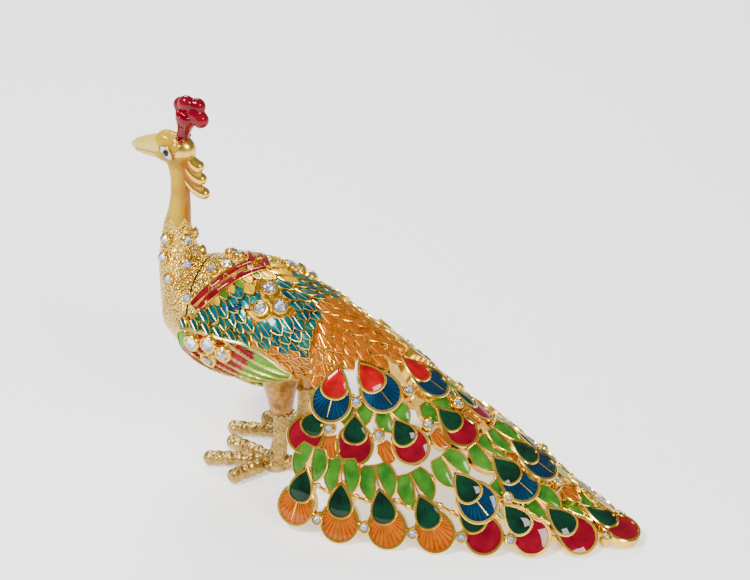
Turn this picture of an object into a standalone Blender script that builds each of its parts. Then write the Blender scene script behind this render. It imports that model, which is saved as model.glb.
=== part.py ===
"""Peacock trinket box: a cast, gold-plated bird whose back lifts off as a lid.

The bird faces -X and stands on its feet and on the rim of its train. It is drawn from its height, in
steps of a ninetieth of it, with its middle plane at y = 0. Walls, plate, gaps and stones have sizes of
their own. Every stone and the lid keep a small clear gap to the casting that holds them.
"""

import math

import bmesh
import bpy
import numpy as np
from mathutils import Vector

# Driving sizes, in metres
HEIGHT = 0.090
WALL = 0.0018
PLATE = 0.0022
LID_GAP = 0.0003
STONE_GAP = 0.0003
SEAT_RIM = 0.0008
SEAT_RISE = 0.0006
BIG_STONE = 0.0030
MID_STONE = 0.0022
SMALL_STONE = 0.0019
STONE_HEIGHT = 0.45
STONE_SIDES = 6

# The pose is drawn in steps of a ninetieth of the height
STEP = HEIGHT / 90.0
LID_FRONT = -18.6
LID_BACK = 11.4
LID_BASE = 39.2
LEG_SPREAD = 6.3

# Torso stations: x, top, bottom, half width, all in steps
TORSO = [
    (-29.6, 40.0, 34.5, 2.5),
    (-28.3, 43.6, 30.5, 6.3),
    (-25.0, 46.6, 27.0, 9.4),
    (-20.0, 48.4, 24.7, 11.7),
    (-14.0, 49.4, 23.3, 13.1),
    (-7.0, 49.6, 22.8, 13.7),
    (0.0, 48.2, 23.2, 13.2),
    (6.0, 45.4, 24.8, 12.2),
    (12.0, 42.6, 27.5, 10.8),
    (18.0, 39.4, 31.0, 9.0),
    (22.0, 36.5, 33.0, 6.5),
]
TORSO_MIDDLE = 36.0
TORSO_SIDES = 16

# Neck stations: x, z, radius, in steps
NECK = [
    (-22.6, 35.0, 8.0),
    (-24.2, 41.0, 7.0),
    (-25.6, 45.0, 5.7),
    (-26.3, 48.5, 4.8),
    (-26.8, 52.0, 4.0),
    (-26.7, 56.0, 3.2),
    (-25.9, 60.0, 2.6),
    (-25.4, 64.0, 2.2),
    (-25.4, 68.0, 2.0),
    (-25.7, 71.5, 2.3),
    (-26.2, 74.5, 2.6),
]
NECK_SIDES = 8

# The train: a pointed arch over an open hollow, in steps
TRAIN_START = 20.0
TRAIN_LENGTH = 68.0
TRAIN_HALF_WIDTH = 27.0
TRAIN_ROUNDNESS = 1.4
TRAIN_FORWARD = 7.0
CORNER_IN = 1.2
RIDGE_START = 43.0
RIDGE_SLOPE = 0.575
RIDGE_FLARE = 1.5
TIP_HEIGHT = 2.0
RIM_HEIGHT = 1.3
LANES = 7.0
ROOT_X = 10.0
ROOT_BACK = 4.0
ROOT_HALF = 10.0
COVERTS_END = 0.27
COVERT_ROWS = (0.05, 0.13, 0.21)
COVERT_STEP = 1.9

# Rows of eye feathers: lanes on one side, share of the way to the rim, length, width and, in
# degrees, how far a feather of the front corner is turned
RIM_LANES = [0.0, 0.96, 1.92, 2.88, 3.84, 4.80, 5.76, 6.70]
RIM_ROW = (RIM_LANES, 0.915, 14.4, 9.2, 12.0)
THIRD_ROW = ([0.0, 1.02, 2.50], (0.655, 0.715, 0.795), 13.6, 9.4, 0.0)
SECOND_ROW = ([1.00, 3.20, 4.98, 6.60], (0.50, 0.565, 0.565, 0.54), 12.0, 8.8, 34.0)
FIRST_ROW = ([0.0, 2.90, 5.35], (0.315, 0.325, 0.325), 13.6, 9.6, 44.0)
TURN_FROM_LANE = 2.9
TURN_FULL_LANE = 6.7

# Small seats on the train: lane, share of the way, and whether a petal hangs under the stone
CLUSTERS = [
    (0.0, 0.425, True),
    (2.05, 0.50, True),
    (4.10, 0.545, True),
    (5.82, 0.51, True),
    (0.0, 0.74, True),
    (1.70, 0.800, False),
    (1.55, 0.36, False),
    (4.35, 0.385, False),
]
RIM_SEATS = [0.48, 2.40, 3.36, 4.32, 5.28, 6.24]
RIM_SEAT_SHARE = 0.965

# Plates of the train and feathers of the back: (along, across) from their middle, in steps
LEAF_PAIR = [(-3.6, -1.7), (0.2, -3.3), (3.6, -3.2), (3.6, 3.2), (0.2, 3.3), (-3.6, 1.7)]
PETAL = [(1.8, -1.4), (5.0, -1.9), (6.8, 0.0), (5.0, 1.9), (1.8, 1.4)]
SCALE = [(-2.6, -1.9), (1.2, -2.3), (3.6, 0.0), (1.2, 2.3), (-2.6, 1.9)]
SCALE_TOP = 0.45
SCALE_ROOT = -0.9

# Head: middle and radii; beak, crest stalk and nape tufts: x, z, radius; crest lobes: x, z, radius
HEAD = ((-26.4, 0.0, 75.5), (5.1, 3.3, 3.9))
EYE = ((-26.9, 2.75, 75.6), (1.5, 0.9, 1.0))
BEAK = [(-29.6, 75.0, 2.7), (-32.6, 74.7, 2.1), (-35.4, 74.2, 1.3), (-37.5, 73.4, 0.35)]
CREST_STALK = [(-24.6, 78.2, 1.3), (-23.6, 81.0, 1.2), (-22.0, 84.0, 1.8)]
CREST_LOBES = [
    (-25.1, 84.3, 2.0),
    (-23.3, 87.3, 2.2),
    (-19.9, 86.6, 2.2),
    (-18.9, 83.7, 2.0),
    (-22.0, 84.2, 2.9),
]
CREST_HALF = 1.8
TUFTS = [
    ((-23.4, 74.6), (-18.9, 71.0)),
    ((-24.2, 71.6), (-18.4, 68.2)),
    ((-24.4, 68.4), (-17.9, 64.8)),
]
TUFT_RADII = [(0.0, 1.0), (0.45, 1.4), (0.85, 1.15), (1.0, 0.5)]

# Legs: x, share of the spread, z, radius; toes: their ends on each side, then share and radius of the rings
THIGH = [(1.6, 0.9, 27.5, 4.4), (2.2, 1.0, 21.0, 3.4), (2.3, 1.0, 16.0, 2.5), (2.2, 1.0, 15.2, 2.7)]
SHANK = [
    (2.2, 1.0, 15.6, 1.8),
    (1.9, 1.0, 9.0, 1.7),
    (1.2, 1.0, 4.4, 2.1),
    (0.4, 1.0, 1.4, 3.0),
    (0.3, 1.0, -0.6, 3.1),
]
TOES = {
    -1.0: [(-13.8, -3.2), (-15.6, -12.4), (-6.2, -17.6), (5.0, -5.6)],
    1.0: [(-16.4, 1.6), (-11.0, 9.6), (-4.0, 13.6), (5.0, 5.8)],
}
TOE_RINGS = [(0.2, 1.7), (0.4, 2.0), (0.52, 1.6), (0.68, 2.0), (0.78, 1.6), (0.92, 1.9), (1.0, 1.1)]

# Wings: x and z of the upper and the lower edge
WING_TOP = [
    (-20.2, 33.5),
    (-19.4, 37.4),
    (-14.0, 38.6),
    (-7.5, 38.7),
    (-1.5, 38.3),
    (4.0, 35.2),
    (8.6, 31.0),
]
WING_LOW = [
    (-20.2, 33.5),
    (-18.6, 29.2),
    (-13.6, 24.4),
    (-7.5, 22.2),
    (-1.5, 21.9),
    (4.2, 24.6),
    (8.6, 31.0),
]
WING_CROWN = 2.1
WING_EDGE = 0.9
WING_ROOT = -1.2
FLUTE = 0.55
FLUTE_FROM = 0.35

# Stones on one side: wing by x and z, lid by x and turn, neck by z and turn
WING_STONES = [(-10.6, 36.4), (-15.2, 35.4), (-6.8, 35.0), (-11.0, 32.2)]
LID_STONES = [(-0.6, 0.42), (-0.6, 0.82), (3.2, 0.64), (-15.4, 0.37), (-12.4, 0.20)]
BIG_LID_STONES = 3
NECK_STONES = [(53.2, 1.30), (53.2, 2.60), (48.8, 1.20), (47.9, 2.30), (44.2, 1.40), (43.0, 2.10)]
SEAT_DEPTH = 1.4
WING_SEAT_LIFT = 0.5
LID_SEAT_LIFT = 0.25

# Stripes on the lid: x at the ridge and at the side, turns in radians from the ridge; feather rows: x, how many
STRIPES = [(-7.6, -17.0), (-4.2, -15.4)]
STRIPE_RADIUS = 0.8
STRIPE_START_TURN = 0.03
STRIPE_TURN = 1.04
STRIPE_LIFT = 0.1
LID_SCALE_ROWS = [(-6.5, 1), (-2.0, 2), (2.4, 3), (6.6, 3)]
BLOCK_HALF = 60.0
BLOCK_END = 120.0

GOLD = (0.83, 0.62, 0.27)
STONE = (0.92, 0.93, 0.97)
COPPER_GOLD = (0.78, 0.45, 0.12)


def clear_scene():
    for item in list(bpy.data.objects):
        bpy.data.objects.remove(item, do_unlink=True)


def make_material(name, colour, roughness, metallic):
    material = bpy.data.materials.new(name)
    material.use_nodes = True
    shader = material.node_tree.nodes["Principled BSDF"]
    shader.inputs["Base Color"].default_value = (*colour, 1.0)
    shader.inputs["Roughness"].default_value = roughness
    shader.inputs["Metallic"].default_value = metallic
    material.diffuse_color = (*colour, 1.0)
    return material


def make_object(name, bm, material):
    """Ends a bmesh: faces outwards, smooth shading where the shape is round."""
    bmesh.ops.remove_doubles(bm, verts=bm.verts, dist=1e-6)
    bmesh.ops.recalc_face_normals(bm, faces=bm.faces)
    mesh = bpy.data.meshes.new(name)
    bm.to_mesh(mesh)
    bm.free()
    mesh.materials.append(material)
    made = bpy.data.objects.new(name, mesh)
    bpy.context.scene.collection.objects.link(made)
    mesh.shade_smooth()
    mesh.set_sharp_from_angle(angle=math.radians(35))
    return made


def hide_helper(helper):
    helper.hide_render = True
    helper.display_type = "WIRE"


def combine(target, name, other, operation, self_union=False):
    modifier = target.modifiers.new(name, "BOOLEAN")
    modifier.operation = operation
    modifier.solver = "EXACT"
    modifier.use_self = self_union
    modifier.object = other
    hide_helper(other)


def loft(bm, rings):
    """Bridges closed rings of points and closes both ends."""
    loops = [[bm.verts.new(point) for point in ring] for ring in rings]
    for low, high in zip(loops, loops[1:]):
        count = len(low)
        for i in range(count):
            j = (i + 1) % count
            bm.faces.new((low[i], low[j], high[j], high[i]))
    bm.faces.new(loops[0][::-1])
    bm.faces.new(loops[-1])


def prism(bm, outline, origin, along, across, up, top, bottom):
    """A flat plate: an outline of (along, across) points between two heights."""
    rings = []
    for height in (bottom, top):
        ring = [origin + along * a + across * b + up * height for a, b in outline]
        rings.append(ring)
    loft(bm, rings)


def tube(bm, path, radii, sides, squash=1.0):
    """A tube of round rings across a path of points, closed at both ends."""
    whole = (path[-1] - path[0]).normalized()
    guide = Vector((0.0, 1.0, 0.0)) if abs(whole.z) > 0.8 else Vector((0.0, 0.0, 1.0))
    rings = []
    for i, point in enumerate(path):
        ahead = path[min(i + 1, len(path) - 1)] - path[max(i - 1, 0)]
        side = ahead.cross(guide).normalized()
        up = side.cross(ahead).normalized()
        ring = []
        for k in range(sides):
            turn = 2.0 * math.pi * (k + 0.5) / sides
            offset = side * math.cos(turn) + up * (math.sin(turn) * squash)
            ring.append(point + offset * radii[i])
        rings.append(ring)
    loft(bm, rings)


def ball(bm, centre, radii, segments=8, rings=6):
    made = bmesh.ops.create_uvsphere(bm, u_segments=segments, v_segments=rings, radius=1.0)
    for vert in made["verts"]:
        vert.co = Vector(centre) + Vector([c * r for c, r in zip(vert.co, radii)])


# The torso


def torso_section(x, inset=0.0):
    """Top, bottom and half width of the torso at x, in metres, shrunk by an inset."""
    table = np.array(TORSO) * STEP
    top, bottom, half = (np.interp(x, table[:, 0], table[:, k]) for k in (1, 2, 3))
    return top - inset, bottom + inset, half - inset


def torso_point(x, turn, lift=0.0):
    """A point on the torso: turn is 0 at the top and pi / 2 on the +Y side."""
    top, bottom, half = torso_section(x, -lift)
    middle = TORSO_MIDDLE * STEP
    rise = top - middle if math.cos(turn) > 0 else middle - bottom
    return Vector((x, half * math.sin(turn), middle + rise * math.cos(turn)))


def torso_frame(x, turn):
    """Backward, sideways and outward directions on the torso."""
    here = torso_point(x, turn)
    back = (torso_point(x + 0.001, turn) - here).normalized()
    side = (torso_point(x, turn + 0.02) - here).normalized()
    return here, back, side, side.cross(back).normalized() * -1.0


def torso_rings(start, end, count, inset=0.0):
    rings = []
    for x in np.linspace(start, end, count):
        ring = [
            torso_point(x, 2.0 * math.pi * k / TORSO_SIDES, -inset) for k in range(TORSO_SIDES)
        ]
        rings.append(ring)
    return rings


def add_torso(bm):
    rings = []
    for station in TORSO:
        x = station[0] * STEP
        rings.append(
            [torso_point(x, 2.0 * math.pi * k / TORSO_SIDES) for k in range(TORSO_SIDES)]
        )
    loft(bm, rings)


# The train: (lane, share) gives a place on its middle surface


def rim_curve(samples=160):
    """Points of the rim in plan, from the tip to the front corner, and the length so far."""
    points = []
    for angle in np.linspace(0.0, math.pi / 2.0, samples):
        share = 2.0 / TRAIN_ROUNDNESS
        x = TRAIN_START + TRAIN_LENGTH * math.cos(angle) ** share
        points.append((x, TRAIN_HALF_WIDTH * math.sin(angle) ** share))
    points.append((TRAIN_START - TRAIN_FORWARD, TRAIN_HALF_WIDTH - CORNER_IN))
    points = np.array(points)
    steps = np.linalg.norm(np.diff(points, axis=0), axis=1)
    return points, np.concatenate([[0.0], np.cumsum(steps)])


RIM_POINTS, RIM_REACH = rim_curve()


def train_height(x, y):
    share = min(max((x - TRAIN_START) / TRAIN_LENGTH, 0.0), 1.0)
    half = TRAIN_HALF_WIDTH * (1.0 - share**TRAIN_ROUNDNESS) ** (1.0 / TRAIN_ROUNDNESS) + 1.0
    fall = RIDGE_START - RIDGE_SLOPE * (x - 12.0) - 3.0
    ridge = np.logaddexp(0.0, fall / RIDGE_FLARE) * RIDGE_FLARE + TIP_HEIGHT
    return max(ridge * max(0.0, 1.0 - (y / half) ** 2), RIM_HEIGHT)


def train_point(lane, share):
    t = lane / LANES
    reach = abs(t) * RIM_REACH[-1]
    rim_x = np.interp(reach, RIM_REACH, RIM_POINTS[:, 0])
    rim_y = math.copysign(np.interp(reach, RIM_REACH, RIM_POINTS[:, 1]), t)
    root_x, root_y = ROOT_X + ROOT_BACK * abs(t), ROOT_HALF * t
    x = root_x + (rim_x - root_x) * share
    y = root_y + (rim_y - root_y) * share
    return Vector((x, y, train_height(x, y))) * STEP


def train_frame(lane, share, reach=0.045):
    """Centre, direction to the rim, sideways and outward directions of a plate on the train."""
    ahead, behind = train_point(lane, share + reach), train_point(lane, share - reach)
    beside = train_point(lane + 0.35, share) - train_point(lane - 0.35, share)
    along = (ahead - behind).normalized()
    up = along.cross(beside).normalized()
    if up.z < 0.0:
        up = -up
    return train_point(lane, share), along, up.cross(along).normalized(), up


def both_sides(lanes):
    return sorted({sign * lane for lane in lanes for sign in (-1.0, 1.0)})


def eye_outline(length, width, arc_points=5):
    """An eye feather: a blunt point towards the root and a round end towards the rim."""
    radius = width / 2.0
    centre = length / 2.0 - radius
    points = [(-length / 2.0, -0.12 * width), (-0.22 * length, -0.36 * width)]
    for k in range(arc_points):
        turn = math.pi * (k / (arc_points - 1.0) - 0.5)
        points.append((centre + radius * math.cos(turn), radius * math.sin(turn)))
    points += [(-0.22 * length, 0.36 * width), (-length / 2.0, 0.12 * width)]
    return [(a * STEP, b * STEP) for a, b in points]


def eye_frame(lane, share, turn):
    """The frame of an eye feather: near the front corner its point is turned back, towards the tip."""
    origin, along, across, up = train_frame(lane, share)
    turned = (abs(lane) - TURN_FROM_LANE) / (TURN_FULL_LANE - TURN_FROM_LANE)
    angle = math.radians(turn) * min(max(turned, 0.0), 1.0)
    forward = across if across.x < 0.0 else -across
    along = (along * math.cos(angle) + forward * math.sin(angle)).normalized()
    return origin, along, up.cross(along).normalized(), up


def add_eye(bm, lane, share, length, width, turn):
    origin, along, across, up = eye_frame(lane, share, turn)
    half = PLATE / 2.0
    prism(bm, eye_outline(length, width), origin, along, across, up, half, -half)


def add_leaf_pair(bm, lane, share, length, turn):
    """Two green leaves that hold the point of the eye below them."""
    origin, along, across, up = eye_frame(lane, share, turn)
    origin = origin - along * (0.5 * length + 0.6) * STEP
    outline = [(a * STEP, b * STEP) for a, b in LEAF_PAIR]
    prism(bm, outline, origin, along, across, up, PLATE * 0.4, -PLATE * 0.4)


def row_places(row):
    lanes, shares, length, width, turn = row
    if not isinstance(shares, tuple):
        shares = (shares,) * len(lanes)
    for lane, share in zip(lanes, shares):
        for side in both_sides([lane]):
            yield side, share, length, width, turn


def add_train(bm):
    for row in (FIRST_ROW, SECOND_ROW, THIRD_ROW, RIM_ROW):
        for place in row_places(row):
            add_eye(bm, *place)
    for row in (SECOND_ROW, THIRD_ROW, RIM_ROW):
        for lane, share, length, _, turn in row_places(row):
            add_leaf_pair(bm, lane, share, length, turn)


def add_coverts(bm):
    """The closed shell behind the back, under the orange feathers."""
    lanes = np.linspace(-LANES, LANES, 11)
    shares = np.linspace(0.0, COVERTS_END, 3)
    loops = {}
    for height in (0.5, -0.5):
        for i, lane in enumerate(lanes):
            for j, share in enumerate(shares):
                origin, _, _, up = train_frame(lane, share)
                loops[height, i, j] = bm.verts.new(origin + up * (height * PLATE))
    last_i, last_j = len(lanes) - 1, len(shares) - 1
    edges = []
    for i in range(last_i):
        edges += [((i, j), (i + 1, j)) for j in (0, last_j)]
    for j in range(last_j):
        edges += [((i, j), (i, j + 1)) for i in (0, last_i)]
    for first, second in edges:
        ends = [(0.5, *first), (0.5, *second), (-0.5, *second), (-0.5, *first)]
        bm.faces.new([loops[end] for end in ends])
    for height in (0.5, -0.5):
        for i in range(last_i):
            for j in range(last_j):
                corners = [(i, j), (i + 1, j), (i + 1, j + 1), (i, j + 1)]
                bm.faces.new([loops[height, a, b] for a, b in corners])


def add_scale(bm, origin, along, across, up, size, tilt=0.22):
    """One overlapping feather: its tip stands proud of the surface."""
    leaning = (along + up * tilt).normalized()
    lifted = leaning.cross(across)
    if lifted.dot(up) < 0.0:
        lifted = -lifted
    outline = [(a * size * STEP, b * size * STEP) for a, b in SCALE]
    prism(bm, outline, origin, leaning, across, lifted, SCALE_TOP * STEP, SCALE_ROOT * STEP)


def add_covert_scales(bm):
    for row, share in enumerate(COVERT_ROWS):
        count = 7 - row % 2
        for k in range(count):
            lane = (k - (count - 1) / 2.0) * COVERT_STEP
            origin, along, across, up = train_frame(lane, share)
            add_scale(bm, origin + up * PLATE * 0.45, along, across, up, 1.15)


# Neck, head and crest


def at(x, y, z):
    return Vector((x, y, z)) * STEP


def add_neck(bm):
    rings = []
    for x, z, radius in NECK:
        ring = []
        for k in range(NECK_SIDES):
            turn = 2.0 * math.pi * k / NECK_SIDES
            ring.append(at(x + radius * math.cos(turn), radius * math.sin(turn), z))
        rings.append(ring)
    loft(bm, rings)


def middle_tube(bm, stations, sides):
    """A tube in the middle plane, from x, z, radius."""
    path = [at(x, 0.0, z) for x, z, _ in stations]
    tube(bm, path, [radius * STEP for _, _, radius in stations], sides)


def add_head(bm):
    ball(bm, at(*HEAD[0]), at(*HEAD[1]), 8, 6)
    middle_tube(bm, BEAK, 6)
    (x, y, z), radii = EYE
    for side in (-1.0, 1.0):
        ball(bm, at(x, y * side, z), at(*radii), 6, 4)


def add_crest(bm):
    middle_tube(bm, CREST_STALK, 6)
    for x, z, radius in CREST_LOBES:
        ball(bm, at(x, 0.0, z), at(radius, CREST_HALF, radius), 6, 5)


def add_tufts(bm):
    for (x0, z0), (x1, z1) in TUFTS:
        start, end = at(x0, 0.0, z0), at(x1, 0.0, z1)
        path = [start.lerp(end, share) for share, _ in TUFT_RADII]
        tube(bm, path, [radius * STEP for _, radius in TUFT_RADII], 5)


# Legs and feet


def add_leg(bm, side):
    for stations in (THIGH, SHANK):
        path = [at(x, LEG_SPREAD * spread * side, z) for x, spread, z, _ in stations]
        tube(bm, path, [station[3] * STEP for station in stations], 7)


def add_toe(bm, side, tip):
    """A ringed toe with a round end, lying on the ground."""
    start, end = at(0.2, LEG_SPREAD * side, 1.9), at(tip[0], tip[1], 1.75)
    path = [start.lerp(end, share) for share, _ in TOE_RINGS]
    tube(bm, path, [radius * STEP for _, radius in TOE_RINGS], 6)


# Wings


def wing_point(x, z, side, lift):
    """A point of the wing: over the torso's side, lifted outwards from it."""
    top, bottom, half = torso_section(x * STEP)
    middle = TORSO_MIDDLE * STEP
    reach = (top - middle) if z * STEP > middle else (middle - bottom)
    drop = min(abs(z * STEP - middle) / reach, 0.92)
    y = half * math.sqrt(1.0 - drop * drop)
    return Vector((x * STEP, side * (y + lift * STEP), z * STEP))


def add_wing(bm, side):
    """A shell with five flutes, its point behind and its root in front."""
    columns = np.linspace(0.0, 1.0, 7)
    rows = np.linspace(0.0, 1.0, 11)
    top, low = np.array(WING_TOP), np.array(WING_LOW)
    along = np.linspace(0.0, 1.0, len(top))
    last_i, last_j = len(columns) - 1, len(rows) - 1
    root = bm.verts.new(wing_point(*WING_TOP[0], side, WING_EDGE))
    point = bm.verts.new(wing_point(*WING_TOP[-1], side, WING_EDGE))
    outer, inner = {}, {}
    for i, u in enumerate(columns):
        high = [np.interp(u, along, top[:, k]) for k in (0, 1)]
        base = [np.interp(u, along, low[:, k]) for k in (0, 1)]
        for j, v in enumerate(rows):
            if i in (0, last_i):
                outer[i, j] = root if i == 0 else point
                continue
            x = base[0] + (high[0] - base[0]) * v
            z = base[1] + (high[1] - base[1]) * v
            crown = (math.sin(math.pi * u) * math.sin(math.pi * v)) ** 0.35
            ridge = FLUTE if (j % 2 == 0 and u > FLUTE_FROM) else 0.0
            lift = WING_EDGE + WING_CROWN * crown + ridge
            outer[i, j] = bm.verts.new(wing_point(x, z, side, lift))
            if j in (0, last_j):
                inner[i, j] = bm.verts.new(wing_point(x, z, side, WING_ROOT))
    for i in range(last_i):
        for j in range(last_j):
            corners = [outer[i, j], outer[i + 1, j], outer[i + 1, j + 1], outer[i, j + 1]]
            bm.faces.new([v for k, v in enumerate(corners) if v not in corners[:k]])
    backing = [root] + [inner[i, 0] for i in range(1, last_i)] + [point]
    backing += [inner[i, last_j] for i in range(last_i - 1, 0, -1)]
    bm.faces.new(backing)
    for j in (0, last_j):
        edge = [root] + [outer[i, j] for i in range(1, last_i)] + [point]
        under = [root] + [inner[i, j] for i in range(1, last_i)] + [point]
        for k in range(last_i):
            corners = [edge[k], edge[k + 1], under[k + 1], under[k]]
            bm.faces.new([v for n, v in enumerate(corners) if v not in corners[:n]])


# Stones and their seats


def stone_outline(diameter, grow=0.0):
    radius = diameter / 2.0 + grow
    turns = [2.0 * math.pi * (k + 0.5) / STONE_SIDES for k in range(STONE_SIDES)]
    return [(radius * math.cos(turn), radius * math.sin(turn)) for turn in turns]


def front_point(z, turn):
    """A point on the neck or the breast, whichever is further out: turn is 0 in front."""
    table = np.array(NECK)
    x, radius = (float(np.interp(z, table[:, 1], table[:, c])) for c in (0, 2))
    out = Vector((-math.cos(turn), math.sin(turn), 0.0))
    while True:
        further = at(x, 0.0, z) + out * (radius + 0.1) * STEP
        top, bottom, half = torso_section(further.x)
        middle = TORSO_MIDDLE * STEP
        reach = top - middle if further.z > middle else middle - bottom
        drop = (further.z - middle) / reach
        if further.x < TORSO[0][0] * STEP or (further.y / half) ** 2 + drop * drop > 1.0:
            return at(x, 0.0, z) + out * radius * STEP
        radius += 0.1


def wing_stone_places(word, side):
    """Name, diameter, centre on the metal, and the three directions of each stone on a wing."""
    seat = WING_CROWN + WING_SEAT_LIFT
    for k, (x, z) in enumerate(WING_STONES):
        here = wing_point(x, z, side, seat)
        ahead = wing_point(x + 1.0, z, side, seat) - here
        rising = wing_point(x, z + 1.0, side, seat) - here
        up = ahead.cross(rising).normalized() * -side
        across = up.cross(ahead).normalized()
        yield f"crystal_wing_{word}_{k + 1}", BIG_STONE, here, ahead.normalized(), across, up


def lid_stone_places(word, side):
    for k, (x, turn) in enumerate(LID_STONES):
        here, back, across, up = torso_frame(x * STEP, turn * side)
        centre = here + up * LID_SEAT_LIFT * STEP
        diameter = BIG_STONE if k < BIG_LID_STONES else MID_STONE
        yield f"crystal_lid_{word}_{k + 1}", diameter, centre, back, across, up


def neck_stone_places(word, side):
    for k, (z, turn) in enumerate(NECK_STONES):
        here = front_point(z, turn * side)
        rising = front_point(z + 1.0, turn * side) - here
        beside = front_point(z, (turn + 0.1) * side) - here
        out = beside.cross(rising).normalized() * -side
        across = out.cross(rising).normalized()
        yield f"crystal_neck_{word}_{k + 1}", MID_STONE, here, across.cross(out), across, out


def train_stone_places():
    rim = [(lane, RIM_SEAT_SHARE, False) for lane in RIM_SEATS]
    for row, seats in (("train", CLUSTERS), ("rim", rim)):
        for k, (lane, share, _) in enumerate(seats):
            for side in both_sides([lane]):
                word = "middle" if lane == 0.0 else ("near" if side < 0.0 else "far")
                origin, along, across, up = train_frame(side, share)
                centre = origin + up * PLATE * 0.5
                yield f"crystal_{row}_{word}_{k + 1}", SMALL_STONE, centre, along, across, up


def stone_places():
    places = list(train_stone_places())
    for word, side in (("near", -1.0), ("far", 1.0)):
        for seats in (wing_stone_places, lid_stone_places, neck_stone_places):
            places += seats(word, side)
    return places


def seat_depth(name):
    return PLATE if ("train" in name or "rim" in name) else SEAT_DEPTH * STEP


def add_seats(bm, places, wanted, unwanted="none"):
    for name, diameter, origin, along, across, up in places:
        if wanted not in name or unwanted in name:
            continue
        outline = stone_outline(diameter, SEAT_RIM)
        prism(bm, outline, origin, along, across, up, SEAT_RISE, -seat_depth(name))


def make_stones(places, material):
    for name, diameter, origin, along, across, up in places:
        base = SEAT_RISE + STONE_GAP
        rise = diameter * STONE_HEIGHT
        bm = bmesh.new()
        rings = []
        for grow, height in ((0.0, base), (-0.2 * diameter, base + rise)):
            outline = stone_outline(diameter, grow)
            rings.append([origin + along * a + across * b + up * height for a, b in outline])
        loft(bm, rings)
        make_object(name, bm, material)


def add_petals(bm):
    for lane, share, petal in CLUSTERS:
        for side in both_sides([lane]):
            origin, along, across, up = train_frame(side, share)
            if petal:
                outline = [(a * STEP, b * STEP) for a, b in PETAL]
                prism(bm, outline, origin, along, across, up, PLATE * 0.45, -PLATE * 0.45)


# The lid and the box under it


def block(bm, low, high):
    made = bmesh.ops.create_cube(bm, size=1.0)
    for vert in made["verts"]:
        vert.co = Vector([a + (b - a) * (c + 0.5) for a, b, c in zip(low, high, vert.co)])


def lid_block(name, grow, material):
    """The space of the lid: behind the front seam, above the box's edge and before the train."""
    bm = bmesh.new()
    low = at(LID_FRONT, -BLOCK_HALF, LID_BASE) - Vector((grow, 0.0, grow))
    high = at(LID_BACK, BLOCK_HALF, BLOCK_HALF) + Vector((grow, 0.0, 0.0))
    block(bm, low, high)
    helper = make_object(name, bm, material)
    hide_helper(helper)
    return helper


def hollow(name, material):
    """The room inside, a wall in from the torso, shared by the box and its lid."""
    bm = bmesh.new()
    start = LID_FRONT * STEP + WALL
    end = LID_BACK * STEP - WALL
    loft(bm, torso_rings(start, end, 7, WALL))
    helper = make_object(name, bm, material)
    hide_helper(helper)
    return helper


def add_lid_feathers(bm):
    """Stripes and feathers that stand proud of the back."""
    for side in (-1.0, 1.0):
        for top_x, low_x in STRIPES:
            path = []
            for share in np.linspace(0.0, 1.0, 5):
                x = (top_x + (low_x - top_x) * share) * STEP
                turn = side * (STRIPE_START_TURN + STRIPE_TURN * share)
                path.append(torso_point(x, turn, STRIPE_LIFT * STEP))
            tube(bm, path, [STRIPE_RADIUS * STEP] * len(path), 4)
        for row, (x, count) in enumerate(LID_SCALE_ROWS):
            for k in range(count):
                turn = side * (1.30 - 0.36 * k - 0.12 * (row % 2))
                origin, back, across, up = torso_frame(x * STEP, turn)
                add_scale(bm, origin, back, across, up, 0.95, 0.16)


def bounds_of(names):
    bpy.context.view_layer.update()
    graph = bpy.context.evaluated_depsgraph_get()
    corners = []
    for name in names:
        mesh = bpy.data.objects[name].evaluated_get(graph).to_mesh()
        points = np.empty(len(mesh.vertices) * 3, np.float32)
        mesh.vertices.foreach_get("co", points)
        corners.append(points.reshape(-1, 3).min(axis=0))
        corners.append(points.reshape(-1, 3).max(axis=0))
    corners = np.array(corners, float)
    return corners.min(axis=0), corners.max(axis=0)


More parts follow.
